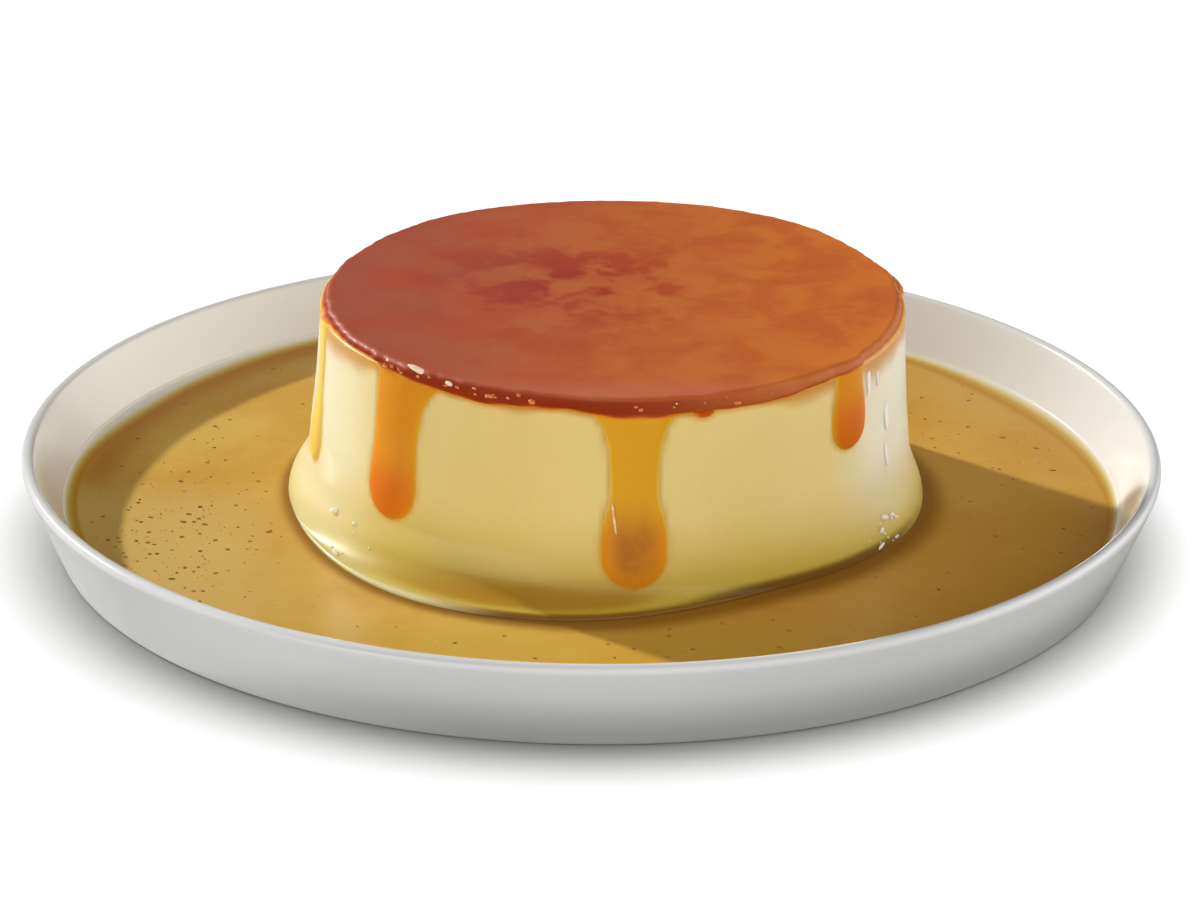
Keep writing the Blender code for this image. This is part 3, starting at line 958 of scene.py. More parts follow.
# %% Custard material
def custard_material():
    look = Look("custard_cream", 0.4, 0.2)
    cloud = look.noise(45.0, stretch=(1.0, 1.0, 0.5))
    # painted light: the left side is paler where the key lamp lights it, the right paler and cooler
    left = look.spread(look.along("X"), -24.0 * MM, -38.0 * MM)
    right = look.spread(look.along("X"), 30.0 * MM, 42.0 * MM)
    # the foot's deeper yellow is partly syrup soaked in, partly painted shade and bounce, less on the lit
    # left
    soaked_and_shaded = look.spread(look.along("Z"), 19.0 * MM, 5.0 * MM)
    soaked_and_shaded = look.times(soaked_and_shaded, look.math("SUBTRACT", 1.0, look.times(left, 0.35)))
    colour = look.clouded(cloud, (236, 216, 140), (242, 224, 154))
    for factor, tint in (
        (left, (246, 240, 208)),
        (right, (244, 240, 218)),
        (soaked_and_shaded, (212, 189, 76)),
        (look.stored("stain"), (228, 184, 80)),
        (look.spread(look.stored("seep"), 0.0, 1.0, 0.0, 0.9), (206, 146, 48)),
        # syrup pooled on the lip, darker as painted shade where the custard's shadow falls
        (look.spread(look.stored("pooled_and_shaded"), 0.0, 1.0, 0.0, 0.9), (186, 138, 34)),
        # the foot's dark edge from the front to the right: syrup stain and painted shadow
        (look.spread(look.stored("soaked_shaded_edge"), 0.0, 1.0, 0.0, 0.9), (122, 74, 16)),
        # the lip's bare edge, painted paler where the key lamp lights it
        (look.stored("lip_edge_lit"), (240, 222, 168)),
    ):
        colour = look.mix(factor, colour, tint)
    look.colour(colour)
    look.soft(1.0, (0.0034, 0.0024, 0.0011))
    look.coat(0.3, 0.06)
    look.bump(look.noise(420.0, 3.0), 0.06 * MM, 0.4)
    return look.material


custard = new_piece("custard_body", custard_skin, custard_material())
finish_piece(custard, "custard", slot="custard")

# %% [markdown]
# ## Caramel film
# The film is a solid skin: an outer sheet that stands off the custard by the film's thickness, an inner
# sheet just inside the custard, and a wall that joins them along the edge. On the bare parts of the wall
# the outer sheet would lie inside the custard, so those cells are left out. What shows as the outline of
# each run is the line where the outer sheet sinks into the custard, which is as smooth as the thickness
# itself.

# %% The edge of the cap
FILM_COLUMNS = 600
CAP_ROUND = 1.0 * MM
FILM_LOW = 7.0 * MM
FILM_ROW = 0.4 * MM
FILM_BACK = 0.35 * MM
CAP_RELIEF = 0.05 * MM
CRIMP = 0.16 * MM
SIDE_SET_BACK = 1.0 * MM
# turn in degrees, swell in millimetres, width in degrees
RIM_BEADS = (
    (-41.5, 0.42, 2.0), (-50.5, 0.30, 1.1), (-36.0, 0.22, 0.9), (-29.0, 0.22, 1.2), (-17.0, 0.2, 1.5),
    (133.0, 0.3, 1.6), (171.0, 0.25, 1.2),
)
PATCH_REACH = 19.0 * MM
PATCH_X = -1.0 * MM
PATCH_Y = 3.0 * MM
CAP_UNDERSIDE_Z = CUSTARD_TOP_Z - 0.2 * MM
CRIMP_FADE = 0.8 * MM     # under the rim, the uneven edge dies away over this height
BARE_WALL = -0.15 * MM     # where the film would be thinner than this, its cells are left out


def crimp(angles):
    """The uneven edge where the caramel let go of the mould, for a ring of angles."""
    ring = around(CUSTARD_TOP_RADIUS, 0.0, angles)
    edge = CRIMP * (0.7 * rough_noise(ring, 290.0, 8.0) + 1.2 * rough_noise(ring, 820.0, 9.0))
    for turn, swell, width in RIM_BEADS:
        edge += swell * MM * np.exp(-((turn_of(angles) - turn) / width) ** 2)
    return edge


def set_back(angles):
    """How far the caramel's edge stands back from the custard's: on the two sides only."""
    turn = np.abs(turn_of(angles))
    return SIDE_SET_BACK * ease((turn - 55.0) / 25.0) * (1.0 - ease((turn - 120.0) / 25.0))


film_angles = np.linspace(0.0, 2.0 * math.pi, FILM_COLUMNS, endpoint=False)
uneven_edge = crimp(film_angles) / MM
print("the cap's edge is out of round by", uneven_edge.min().round(2), "to",
      uneven_edge.max().round(2), "mm")

# %% Film sheets
def film_sheets(angles):
    """Outer and inner rows of the film, with rows of thickness, shade and murk."""
    start_z = CAP_TOP_Z - CAP_ROUND
    rim = wall_radius(angles, start_z) + film(angles, np.full_like(angles, start_z))[0]
    rim += crimp(angles) - set_back(angles)
    outer, inner, thick, shade, murk = [], [], [], [], []
    for share in np.concatenate([[0.02], np.linspace(0.08, 1.0, 14)]):
        radius = (rim - CAP_ROUND) * share
        outer.append(around(radius, CAP_TOP_Z, angles))
        inner.append(around(radius, CAP_UNDERSIDE_Z, angles))
    for turn in np.radians(np.linspace(80.0, 0.0, 8)):
        z = start_z + CAP_ROUND * math.sin(turn)
        outer.append(around(rim - CAP_ROUND + CAP_ROUND * math.cos(turn), z, angles))
        inner.append(around(rim - CAP_ROUND - 0.3 * MM, CAP_UNDERSIDE_Z, angles))
    for rows in outer:
        thick.append(np.full_like(angles, 1.0 * MM))
        shade.append(np.full_like(angles, APRON_SHADE))
        murk.append(np.zeros_like(angles))
    for z in np.arange(start_z - FILM_ROW, FILM_LOW, -FILM_ROW):
        heights = np.full_like(angles, z)
        here, dark, dull_brown = film(angles, heights)
        base = wall_radius(angles, heights)
        ragged = crimp(angles) * math.exp((z - start_z) / CRIMP_FADE) * (here > 0.0)
        outer.append(around(base + here + ragged, z, angles))
        back = np.minimum(base - FILM_BACK, wall_radius(angles, CUSTARD_TOP_Z) - FILM_BACK)
        under_cap = z > CUSTARD_TOP_Z - 0.4 * MM
        inner.append(around(back if under_cap else base - FILM_BACK, min(z, CAP_UNDERSIDE_Z), angles))
        thick.append(here)
        shade.append(dark)
        murk.append(dull_brown)
    return [np.array(rows) for rows in (outer, inner, thick, shade, murk)]


film_rows = film_sheets(film_angles)
print("film rows:", len(film_rows[0]), "of", FILM_COLUMNS, "points")

# %% Film mesh
def film_mesh(outer, inner, thick, shade, murk):
    """The closed skin between the two sheets, only where there is caramel."""
    relief = rough_noise(outer, 70.0, 3.0)
    flat_top = outer[..., 2] > CAP_TOP_Z - 0.01 * MM
    outer[..., 2] += np.where(flat_top, relief * CAP_RELIEF - CAP_RELIEF, 0.0)
    count, columns = thick.shape
    size = count * columns
    points = np.concatenate([outer.reshape(-1, 3), inner.reshape(-1, 3)]).tolist()
    points.append([FLAN_X, 0.0, CAP_TOP_Z - CAP_RELIEF])
    points.append([FLAN_X, 0.0, CAP_UNDERSIDE_Z])
    keep = np.maximum.reduce([thick[:-1], thick[1:], np.roll(thick, -1, 1)[:-1], np.roll(thick, -1, 1)[1:]])
    keep = keep > BARE_WALL
    faces = []
    for j in range(columns):
        k = (j + 1) % columns
        faces.append((2 * size, j, k))
        faces.append((2 * size + 1, size + k, size + j))
    for i in range(count - 1):
        for j in np.nonzero(keep[i])[0]:
            j = int(j)
            k = (j + 1) % columns
            a, b, c, d = i * columns + j, (i + 1) * columns + j, (i + 1) * columns + k, i * columns + k
            faces.append((a, b, c, d))
            faces.append((size + d, size + c, size + b, size + a))
            if i == count - 2 or not keep[i + 1, j]:
                faces.append((b, size + b, size + c, c))
            if not keep[i, k]:
                faces.append((d, c, size + c, size + d))
            if not keep[i, j - 1]:
                faces.append((b, a, size + a, size + b))
            if i > 0 and not keep[i - 1, j]:
                faces.append((a, d, size + d, size + a))
    mesh = bpy.data.meshes.new("caramel_film")
    mesh.from_pydata(points, [], faces)
    mesh.shade_smooth()
    off_x, off_y = outer[..., 0] - PATCH_X, outer[..., 1] - PATCH_Y
    middle = np.exp(-(off_x / PATCH_REACH) ** 2 - (off_y / PATCH_REACH) ** 2)
    for name, values, pole in (("shade", shade, APRON_SHADE), ("murk", murk, 0.0), ("middle", middle, 1.0)):
        store(mesh, name, np.concatenate([values.ravel(), values.ravel(), [pole, pole]]))
    bm = bmesh.new()
    bm.from_mesh(mesh)
    bmesh.ops.delete(bm, geom=[v for v in bm.verts if not v.link_faces], context="VERTS")
    bm.to_mesh(mesh)
    bm.free()
    return mesh


film_skin = film_mesh(*film_rows)
print("film mesh has", len(film_skin.polygons), "faces")

# %% [markdown]
# ## What caramel looks like
# Caramel is a clear brown liquid, so its colour is its depth: a hair of it is gold, a millimetre is orange,
# and the soaked cap is red-brown. Each point of the film already stores its shade, and a colour ramp turns
# shade into colour. The cap is mottled, because the sugar browned unevenly in the pan: a fine noise clouds
# all of it, and a second one makes darker red patches round the middle. Its top is painted mauve on the
# left, a painted reflection of the sky, and orange on the right, with a painted pink highlight along its
# front edge; the dark band under the rim has a paler painted sheen on the right.

# %% Caramel material
def caramel_material():
    look = Look("caramel_amber", 0.48, 0.14)
    shade = look.math("DIVIDE", look.stored("shade"), 2.5)
    # left to right: the left of the top is painted mauve, a painted reflection of the sky
    side = look.spread(look.along("X"), -34.0 * MM, 36.0 * MM)

    # where the caramel runs, its colour is its depth
    amber = look.ramp(shade, (
        (0.0, (250, 218, 112)),
        (0.14, (226, 172, 36)),
        (0.26, (228, 152, 32)),
        (0.48, (226, 120, 26)),
        (0.68, (188, 80, 18)),
        (0.92, (150, 48, 10)),
    ))
    clots = look.spread(look.noise(260.0), 0.35, 0.6, 0.6, 1.0)
    amber = look.mix(look.times(look.stored("murk"), clots), amber, (160, 98, 38))
    # painted sheen: the dark band under the rim is paler and pinker towards the right
    painted_sheen_right = look.spread(look.along("X"), 2.0 * MM, 32.0 * MM, 0.0, 0.8)
    painted_sheen_right = look.times(painted_sheen_right, look.spread(shade, 0.7, 0.9))
    amber = look.mix(painted_sheen_right, amber, (212, 126, 66))

    # the top is mottled; its left is a painted mauve reflection, and its front edge a painted highlight
    fine = look.spread(look.noise(110.0, 5.0, 0.6, 0.3), 0.42, 0.62, 0.0, 0.45)
    burnt = look.spread(look.noise(125.0, 5.0, 0.62), 0.44, 0.58)
    burnt = look.times(burnt, look.stored("middle"))
    front_highlight = look.spread(look.along("Y"), -34.0 * MM, -40.0 * MM, 0.0, 0.5)
    level = look.spread(look.along("Z"), CAP_TOP_Z - 0.16 * MM, CAP_TOP_Z - 0.11 * MM)
    top = look.mix(side, (174, 90, 68), (210, 118, 46))
    top = look.mix(fine, top, (182, 74, 42))
    top = look.mix(burnt, top, look.mix(side, (150, 50, 54), (188, 68, 34)))
    top = look.mix(look.times(front_highlight, level), top, (200, 116, 92))

    on_top = look.spread(look.along("Z"), CAP_TOP_Z - 0.7 * MM, CAP_TOP_Z - 0.2 * MM)
    look.colour(look.mix(on_top, amber, top))
    look.soft(0.3, (0.0009, 0.0005, 0.0002))
    look.coat(0.03, 0.12)
    look.bump(look.noise(420.0, 3.0), 0.08 * MM, 0.35)
    return look.material


caramel = new_piece("caramel_film", film_skin, caramel_material())
caramel.visible_shadow = False     # clear caramel lets the light through to the custard
finish_piece(caramel, "caramel_layer", slot="caramel")

# %% [markdown]
# ## Syrup
# The pool is less than two millimetres deep. It climbs a little at the custard's foot and at the plate's
# wall. Its colour is its depth again, so it pales to nothing where the plate's floor rises into the wall.
# The true depth changes there within a millimetre, and a stain that the eye reads as syrup is wider, so we
# store a depth that fades over a border of its own, wider at the back. The mesh is one sheet of rings from
# the custard's foot to the wall, with an underside that rests in the plate. Each point also stores how
# close the custard is, for a dark ring at its foot that is partly deeper syrup and partly painted shade, and
# where painted shadow falls: the plate wall's shadow at the back on the left, and the custard's shadow
# towards the front on the right.

# %% Syrup sizes
SYRUP_COLUMNS = 288
SYRUP_ROWS = 64
PLATE_CLIMB = 0.3 * MM
PLATE_CLIMB_WIDTH = 0.6 * MM
WALL_FILM = 0.05 * MM
WALL_FILM_REACH = 0.4 * MM
FOOT_CLIMB = 0.6 * MM
FOOT_CLIMB_WIDTH = 0.9 * MM
SYRUP_RIPPLE = 0.03 * MM
MENISCUS_AND_SHADE = 3.4 * MM
DRAINED = 1.0 * MM
DRAINED_TURN = -117.0     # degrees: the border is set back most round this turn
DRAINED_WIDTH = 13.0
PALE_BORDER = 3.6 * MM
# where the painted shadow of the plate's wall lies on the syrup
SHADOW_FROM_WALL = 4.0 * MM
SHADOW_WIDTH = 3.6 * MM
FOOT_SINK = 0.25 * MM     # the pool's inner edge lies this deep in the custard
LEVEL_BLEND = 0.3 * MM
WALL_START = FILLET_RADIUS + FILLET * math.cos(math.radians(INNER_TILT))


def plate_floor(radius):
    """Height of the plate's upper face over its flat floor, its fillet and the start of its wall."""
    over = np.clip((radius - FILLET_RADIUS) / FILLET, 0.0, math.cos(math.radians(INNER_TILT)))
    fillet = PLATE_FLOOR_Z + FILLET * (1.0 - np.sqrt(1.0 - over * over))
    tilt = math.radians(INNER_TILT)
    rise = (PLATE_HEIGHT - LIP + LIP * math.sin(tilt)) - (PLATE_FLOOR_Z + FILLET * (1.0 - math.sin(tilt)))
    run = (PLATE_RADIUS - LIP - LIP * math.cos(tilt)) - WALL_START
    return fillet + np.maximum(radius - WALL_START, 0.0) * rise / run


print("plate floor at 60, 72 and 76 mm:", (plate_floor(np.array([60, 72, 76]) * MM) / MM).round(2), "mm")

# %% Syrup mesh
def syrup_mesh():
    angles = np.linspace(0.0, 2.0 * math.pi, SYRUP_COLUMNS, endpoint=False)
    foot = wall_radius(angles, SYRUP_Z + 0.4 * MM) - FOOT_SINK
    centre = around(foot, 0.0, angles)
    edge = around(WALL_START + WALL_FILM_REACH, 0.0, angles, 0.0)
    shares = 0.5 - 0.5 * np.cos(np.linspace(0.0, math.pi, SYRUP_ROWS))
    top = centre[None] + (edge - centre)[None] * shares[:, None, None]
    from_foot = np.linalg.norm(top - centre[None], axis=-1)
    from_wall = np.linalg.norm(top - edge[None], axis=-1)
    ripple = rough_noise(top, 60.0, 5.0) * SYRUP_RIPPLE
    climb = PLATE_CLIMB * np.exp((WALL_FILM_REACH - from_wall) / PLATE_CLIMB_WIDTH)
    climb = np.minimum(climb, PLATE_CLIMB) + FOOT_CLIMB * np.exp(-from_foot / FOOT_CLIMB_WIDTH)
    floor = plate_floor(np.hypot(top[..., 0], top[..., 1]))
    level = SYRUP_Z + climb + ripple
    top[..., 2] = softest(level, floor + WALL_FILM, LEVEL_BLEND)
    turn = turn_of(np.broadcast_to(angles, from_foot.shape))
    drained = DRAINED * np.exp(-((turn - DRAINED_TURN) / DRAINED_WIDTH) ** 2)
    drained *= 1.0 + 0.25 * rough_noise(top, 120.0, 14.0)
    behind = ease((np.abs(turn) - 70.0) / 50.0)
    fade = PALE_BORDER * (0.7 + 0.6 * behind) * (1.0 + 0.4 * rough_noise(top, 45.0, 6.0))
    depth = (SYRUP_Z - PLATE_FLOOR_Z) * ease((from_wall - drained) / fade)
    x, y = top[..., 0], top[..., 1]
    # painted shadow: the plate wall's at the back on the left, and the custard's towards the right
    band = np.exp(-((from_wall - SHADOW_FROM_WALL) / SHADOW_WIDTH) ** 2)
    band *= ease((20.0 * MM - x) / (40.0 * MM)) * ease((y + 12.0 * MM) / (20.0 * MM))
    east = ease((x + 10.0 * MM) / (40.0 * MM))
    east = east * (0.45 + 0.35 * ease((5.0 * MM - y) / (20.0 * MM)))
    painted_shadow = np.maximum(band, east)
    under = top.copy()
    under[..., 2] = np.minimum(floor - 0.1 * MM, top[..., 2] - 0.02 * MM)
    # the dark ring round the custard's foot: partly deeper syrup, partly painted shade, widest in front
    in_front = ease((turn + 30.0) / 45.0) * (1.0 - ease((turn - 80.0) / 60.0))
    ring_width = MENISCUS_AND_SHADE * (0.45 + 0.55 * in_front)
    ring = np.exp(-(from_foot / ring_width) ** 3)
    count = SYRUP_ROWS * SYRUP_COLUMNS
    points = np.concatenate([top.reshape(-1, 3), under.reshape(-1, 3)]).tolist()
    faces = []
    for j in range(SYRUP_COLUMNS):
        k = (j + 1) % SYRUP_COLUMNS
        for i in range(SYRUP_ROWS - 1):
            a, b = i * SYRUP_COLUMNS + j, (i + 1) * SYRUP_COLUMNS + j
            c, d = (i + 1) * SYRUP_COLUMNS + k, i * SYRUP_COLUMNS + k
            faces.append((a, b, c, d))
            faces.append((count + d, count + c, count + b, count + a))
        last = (SYRUP_ROWS - 1) * SYRUP_COLUMNS
        faces.append((j, k, count + k, count + j))
        faces.append((last + k, last + j, count + last + j, count + last + k))
    mesh = bpy.data.meshes.new("syrup_pool")
    mesh.from_pydata(points, [], faces)
    mesh.shade_smooth()
    for name, values in (("depth", depth / MM), ("near_foot", ring), ("painted_shadow", painted_shadow)):
        store(mesh, name, np.concatenate([values.ravel(), values.ravel()]))
    return mesh


pool = syrup_mesh()
print("syrup mesh has", len(pool.polygons), "faces")

# %% Syrup material
def syrup_material():
    look = Look("syrup_gold", 0.3, 0.06)
    depth = look.math("DIVIDE", look.stored("depth"), 1.7)
    gold = look.ramp(depth, (
        (0.0, (232, 231, 226)),
        (0.07, (226, 210, 150)),
        (0.25, (206, 172, 82)),
        (0.62, (200, 150, 50)),
        (0.93, (222, 184, 94)),
    ))
    cloud = look.spread(look.noise(48.0, 6.0, 0.68), 0.35, 0.65)
    gold = look.mix(look.times(cloud, look.spread(depth, 0.6, 0.9)), gold, (212, 166, 76))
    # painted shadow: a deeper brown where the wall's and the custard's shadows fall
    painted_shadow = look.times(look.stored("painted_shadow"), look.spread(depth, 0.2, 0.6, 0.0, 0.8))
    east = look.spread(look.along("X"), 0.0, 30.0 * MM)
    gold = look.mix(painted_shadow, gold, look.mix(east, (186, 118, 22), (194, 136, 46)))
    # painted light: paler and yellower where the key lamp lights the syrup on the left
    painted_light_west = look.spread(look.along("X"), -36.0 * MM, -52.0 * MM, 0.0, 0.45)
    painted_light_west = look.times(painted_light_west, look.spread(look.along("Y"), 2.0 * MM, -10.0 * MM))
    gold = look.mix(look.times(painted_light_west, look.spread(depth, 0.7, 0.9)), gold, (228, 200, 128))
    # painted shade: darker in front, where the custard's shadow falls
    front = look.spread(look.along("Y"), -44.0 * MM, -56.0 * MM, 0.0, 0.6)
    gold = look.mix(look.times(front, look.spread(depth, 0.6, 0.9)), gold, (200, 164, 62))
    # the dark ring at the custard's foot: partly deeper syrup, partly painted shade
    look.colour(look.mix(look.times(look.stored("near_foot"), 0.8), gold, (126, 76, 12)))
    look.coat(0.03, 0.05)
    look.bump(look.noise(120.0, 2.0), 0.06 * MM, 0.25)
    return look.material


syrup = new_piece("syrup_pool", pool, syrup_material())
finish_piece(syrup, "syrup", slot="syrup")

# %% [markdown]
# ## Specks in the syrup
# Bits of burnt sugar float in the pool and gather on the left. Placing hundreds by hand would be silly, so
# Geometry Nodes scatter them: points fall on a bed at the syrup's level, thicker where the bed's stored
# crowding is high, and each point gets a small flattened ball of its own size and turn.

# %% The scattering tree
SMALL_MOSTLY = 2.2     # the higher this power, the more of the balls are small
LONGEST = 1.7     # a ball is at most this many times as long as it is wide


def scatter_tree():
    """Scatters flattened balls over the mesh it is given, by the crowding stored on that mesh."""
    tree = Tree("scatter_blobs", (
        ("Per square metre", "NodeSocketFloat"), ("Seed", "NodeSocketInt"), ("Smallest", "NodeSocketFloat"),
        ("Largest", "NodeSocketFloat"), ("Flatness", "NodeSocketFloat"), ("Finish", "NodeSocketMaterial")))
    crowd = tree.node("GeometryNodeInputNamedAttribute", {"Name": "crowding"}, data_type="FLOAT")
    crowd = crowd.outputs["Attribute"]
    density = tree.math("MULTIPLY", crowd, tree.given["Per square metre"])
    points = tree.node("GeometryNodeDistributePointsOnFaces", {
        "Mesh": tree.given["Geometry"], "Density": density, "Seed": tree.given["Seed"]})
    ball = tree.node("GeometryNodeMeshIcoSphere", {"Radius": 1.0, "Subdivisions": 2}).outputs["Mesh"]
    smooth = tree.node("GeometryNodeSetShadeSmooth", {"Geometry": ball}).outputs["Geometry"]
    size_node, size = tree.random(0.0, 1.0)
    tree.group.links.new(tree.given["Seed"], size_node.inputs["Seed"])
    small_mostly = tree.math("POWER", size, SMALL_MOSTLY)
    range_of = tree.math("SUBTRACT", tree.given["Largest"], tree.given["Smallest"])
    scale = tree.math("ADD", tree.math("MULTIPLY", small_mostly, range_of), tree.given["Smallest"])
    length = tree.math("MULTIPLY", scale, tree.random(1.0, LONGEST)[1])
    height = tree.math("MULTIPLY", scale, tree.given["Flatness"])
    shape = tree.node("ShaderNodeCombineXYZ", {"X": length, "Y": scale, "Z": height}).outputs["Vector"]
    about_z = tree.node("ShaderNodeCombineXYZ", {"Z": tree.random(0.0, math.pi)[1]}).outputs["Vector"]
    placed = tree.node("GeometryNodeInstanceOnPoints", {
        "Points": points.outputs["Points"], "Instance": smooth, "Scale": shape, "Rotation": about_z})
    tree.finish(placed.outputs["Instances"], tree.given["Finish"])
    return tree


def scatter_on(bed, name, density, seed, smallest, largest, flatness, finish, slot):
    """Scatters blobs over a bed, with sizes in millimetres, and hands them over as one piece."""
    values = {"Per square metre": density, "Seed": seed, "Smallest": smallest * MM, "Largest": largest * MM,
              "Flatness": flatness, "Finish": finish}
    finish_piece(grow(scatter, new_piece(bed.name, bed), values, name), slot=slot)


scatter = scatter_tree()
print("scattering tree has", len(scatter.group.nodes), "nodes")

# %% Syrup specks
SPECK_BED_ROWS = 40
SPECK_BED_COLUMNS = 160
SPECK_STAND_OFF = 3.0 * MM
SPECKS_PER_M2 = 300000.0
SPARSE = 0.07

# middle and reach to the right, middle and reach to the back, all in millimetres, then weight
CROWDS = ((-57.0, 9.0, -22.0, 24.0, 1.0), (4.0, 9.0, -58.0, 5.0, 0.25), (60.0, 9.0, 18.0, 18.0, 0.35))


def speck_bed():
    """A level ring over the pool whose crowding is high on the left and low elsewhere."""
    angles = np.linspace(0.0, 2.0 * math.pi, SPECK_BED_COLUMNS, endpoint=False)
    foot = around(wall_radius(angles, FOOT_Z) + SPECK_STAND_OFF, SYRUP_Z, angles)
    edge = around(FILLET_RADIUS, SYRUP_Z, angles, 0.0)
    shares = np.linspace(0.0, 1.0, SPECK_BED_ROWS)
    points = foot[None] + (edge - foot)[None] * shares[:, None, None]
    bed = ring_mesh("speck_bed", points, closed_ends=False)
    east, north = points[..., 0] / MM, points[..., 1] / MM
    crowd = 0.0
    for x, reach_x, y, reach_y, weight in CROWDS:
        crowd = crowd + weight * np.exp(-((east - x) / reach_x) ** 2 - ((north - y) / reach_y) ** 2)
    store(bed, "crowding", (crowd + SPARSE).ravel())
    return bed


def speck_material():
    look = Look("burnt_sugar", 0.35)
    grain = look.noise(900.0, 2.0)
    look.colour(look.clouded(grain, (146, 96, 36), (190, 134, 58), 0.35, 0.65))
    look.bump(grain, 0.04 * MM, 0.5)
    return look.material


scatter_on(speck_bed(), "syrup_specks", SPECKS_PER_M2, 11, 0.09, 0.36, 0.25, speck_material(), "syrup")

# %% [markdown]
# ## Whey at the foot
# Custard weeps a little after it is turned out. Beads of whey gather low on its wall and glint, one group
# on the right and one in front on the left, and a third is put at the back so that no side is bare. They
# repeat, so the same tree scatters them, this time on a band of rings that follows the foot. The beads are
# near-white, a painted glint that makes them sparkle, and get no light scattering inside, although whey is
# cloudy: in closed meshes this small it would turn them dark.

# %% Bands to scatter on
BED_COLUMNS = 720


def humps(turn, peaks):
    """Crowding that is high round a few turns; a peak is a turn and a width in degrees, and a weight."""
    return sum(weight * np.exp(-((turn - middle) / width) ** 2) for middle, width, weight in peaks)


def band_bed(name, heights, radius_at):
    """A band of rings at these heights in millimetres, with the turn and height of each of its points."""
    angles = np.linspace(0.0, 2.0 * math.pi, BED_COLUMNS, endpoint=False)
    rows = []
    for height in heights:
        z = np.full_like(angles, height * MM)
        rows.append(around(radius_at(angles, z), z, angles))
    points = np.array(rows)
    turn = turn_of(np.broadcast_to(angles, points.shape[:2]))
    return ring_mesh(name, points, closed_ends=False), turn, points[..., 2]


print("bands to scatter on have", BED_COLUMNS, "columns")

# %% Whey beads
WHEY_PER_M2 = 240000.0
WHEY_HEIGHTS = (6.0, 7.0, 8.2, 10.0)
WHEY_PEAKS = ((61.0, 6.0, 1.0), (-52.0, 5.0, 0.6), (140.0, 8.0, 0.5))
WHEY_STAND_OFF = 0.02 * MM


def foot_skin(angles, z):
    return wall_radius(angles, z) + WHEY_STAND_OFF


def whey_glint_material():
    look = Look("whey_bead_painted_glint", 0.3, 0.3)
    # near-white: a painted glint that makes the beads sparkle
    look.colour(look.clouded(look.noise(500.0, 2.0), (254, 250, 232), (255, 254, 246), 0.35, 0.65))
    look.coat(0.4, 0.05)
    return look.material


whey_glint_finish = whey_glint_material()
foot_bed, foot_turns, _ = band_bed("foot_bed", WHEY_HEIGHTS, foot_skin)
store(foot_bed, "crowding", humps(foot_turns, WHEY_PEAKS).ravel())
scatter_on(foot_bed, "whey_beads", WHEY_PER_M2, 7, 0.12, 0.45, 0.9, whey_glint_finish, "custard")

# %% [markdown]
# ## Painted highlights: blisters and wet streaks
# A few single marks carry the wet look, as painted highlights: pale balls that stand for the glint on
# blisters of foam where the cap tore off the mould, and near-white ridges for the long glints where whey ran
# down the wall. There are only a dozen and each has its own place, so a table and a loop say it best: every
# row is one ball, flattened, tilted and half sunk in the wall.

# %% Blisters and streaks
WALL_LEAN = math.radians(-6.5)

# turn in degrees; height, stand-off, half width, half height and half thickness in millimetres; tilt
# painted highlights: near-white ridges that stand for the glints of whey on the wall
PAINTED_GLINT_STREAKS = (
    (57.2, 30.2, 0.02, 0.45, 2.4, 0.09, 4.0), (61.0, 29.6, 0.02, 0.25, 1.4, 0.08, 2.0),
    (65.4, 23.2, 0.02, 0.75, 2.3, 0.10, 3.0), (64.8, 17.6, 0.02, 0.50, 1.9, 0.09, -4.0),
    (58.5, 8.2, 0.05, 0.60, 0.45, 0.14, 10.0), (57.4, 6.3, 0.05, 0.90, 0.28, 0.14, -14.0),
    (-53.4, 6.2, 0.40, 0.70, 0.30, 0.16, 10.0), (140.0, 20.0, 0.02, 0.50, 2.2, 0.09, 3.0),
)
# painted highlights: pale balls for the glints on the rim, and one long glint on the centre run
PAINTED_HIGHLIGHTS = (
    (-38.9, 34.1, 0.35, 2.1, 0.55, 0.45, 9.0), (-31.5, 33.6, 0.5, 0.6, 0.35, 0.35, 9.0),
    (-47.0, 34.0, 0.3, 0.5, 0.35, 0.3, 9.0), (0.6, 17.8, 0.98, 0.16, 2.2, 0.12, -8.0),
)


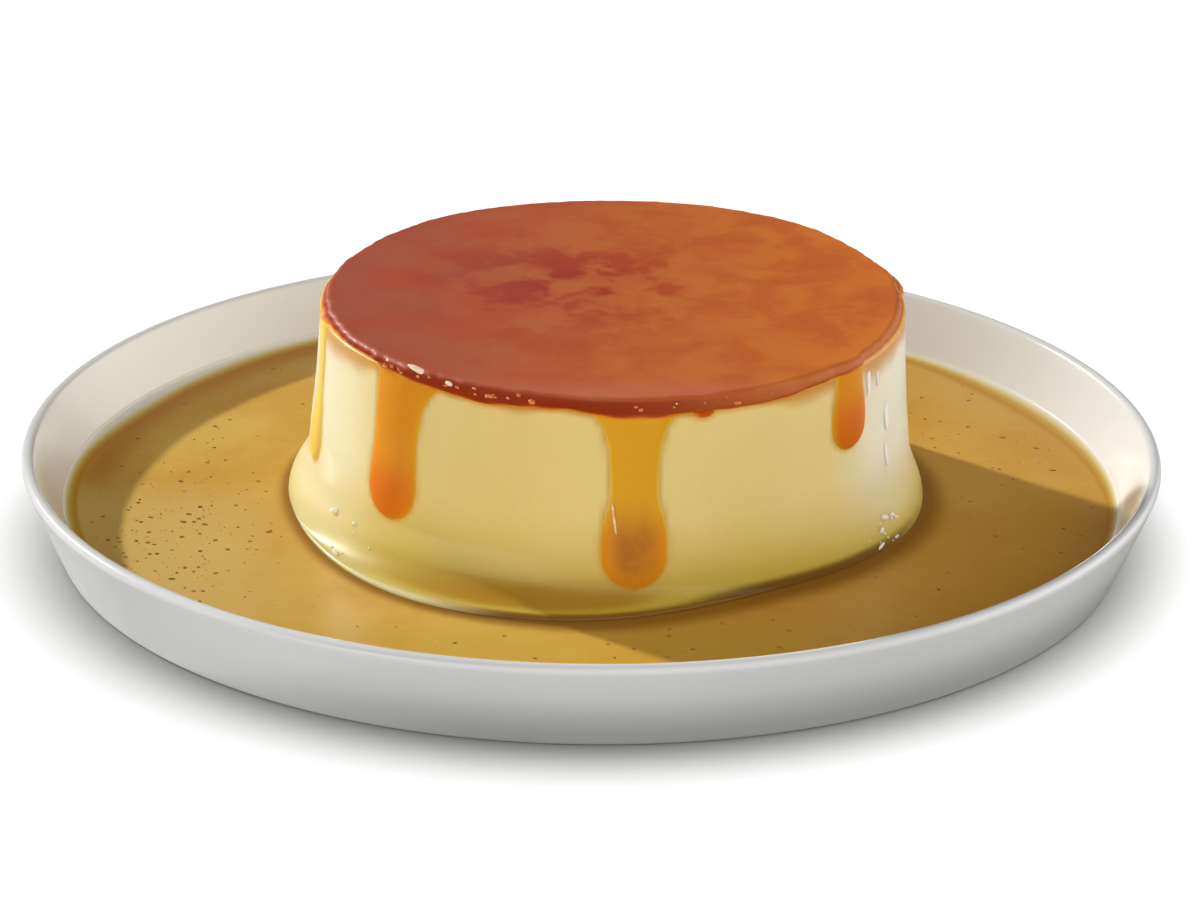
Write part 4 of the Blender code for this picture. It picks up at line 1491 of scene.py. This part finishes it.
def drops(name, places):
    """Flattened balls on the custard's wall, each closed, joined in one mesh."""
    bm = bmesh.new()
    for turn, z, off, half_width, half_height, half_thickness, tilt in places:
        turn = math.radians(turn)
        out = float(wall_radius(turn, z * MM)) + off * MM
        place = Matrix.Translation((FLAN_X + out * math.sin(turn), -out * math.cos(turn), z * MM))
        lean = Matrix.Rotation(turn, 4, "Z") @ Matrix.Rotation(WALL_LEAN, 4, "X")
        lean = lean @ Matrix.Rotation(math.radians(tilt), 4, "Y")
        size = Matrix.Diagonal((half_width * MM, half_thickness * MM, half_height * MM, 1.0))
        bmesh.ops.create_icosphere(bm, subdivisions=3, radius=1.0, matrix=place @ lean @ size)
    mesh = bpy.data.meshes.new(name)
    bm.to_mesh(mesh)
    bm.free()
    mesh.shade_smooth()
    return mesh


def painted_highlight_material():
    look = Look("caramel_foam_painted_highlight", 0.2)
    # pale, nearly white: a painted highlight
    look.colour(look.clouded(look.noise(900.0), (240, 196, 140), (255, 246, 228), 0.35, 0.6))
    look.coat(1.0, 0.05)
    return look.material


finish_piece(new_piece("caramel_painted_highlights", drops("caramel_painted_highlights", PAINTED_HIGHLIGHTS), painted_highlight_material()), slot="caramel")
finish_piece(new_piece("painted_glint_streaks", drops("painted_glint_streaks", PAINTED_GLINT_STREAKS), whey_glint_finish), slot="custard")

# %% [markdown]
# ## Bubbles on the rim
# Where the caramel tears off the mould it traps air, and small beads of it stay on the edge, mostly in
# front on the left. They are what catches the hard light. The scattering tree makes them from a narrow band
# along the rim, and only where the caramel there is thick enough to hold one.

# %% Rim bubbles
BUBBLES_PER_M2 = 1500000.0
BUBBLE_HEIGHTS = (33.9, 33.3, 32.8)
BUBBLE_PEAKS = ((-47.0, 9.0, 1.0), (-26.0, 8.0, 0.5), (8.0, 14.0, 0.35))
BUBBLES_ELSEWHERE = 0.12
BUBBLE_DEPTH = 0.1 * MM


def rim_skin(angles, z):
    return wall_radius(angles, z) + film(angles, z)[0] - set_back(angles) - BUBBLE_DEPTH


def bubble_material():
    look = Look("caramel_bead", 0.08, 0.6)
    look.colour(look.clouded(look.noise(400.0, 2.0), (196, 98, 44), (226, 140, 60), 0.35, 0.65))
    look.soft(0.4, (0.0012, 0.0006, 0.0003))
    look.coat(1.0, 0.02)
    return look.material


rim_bed, rim_turns, rim_heights = band_bed("bubble_bed", BUBBLE_HEIGHTS, rim_skin)
thick_enough = film(np.radians(rim_turns), rim_heights)[0] > BUBBLE_DEPTH
store(rim_bed, "crowding", ((humps(rim_turns, BUBBLE_PEAKS) + BUBBLES_ELSEWHERE) * thick_enough).ravel())
scatter_on(rim_bed, "rim_bubbles", BUBBLES_PER_M2, 4, 0.14, 0.5, 0.85, bubble_material(), "caramel")
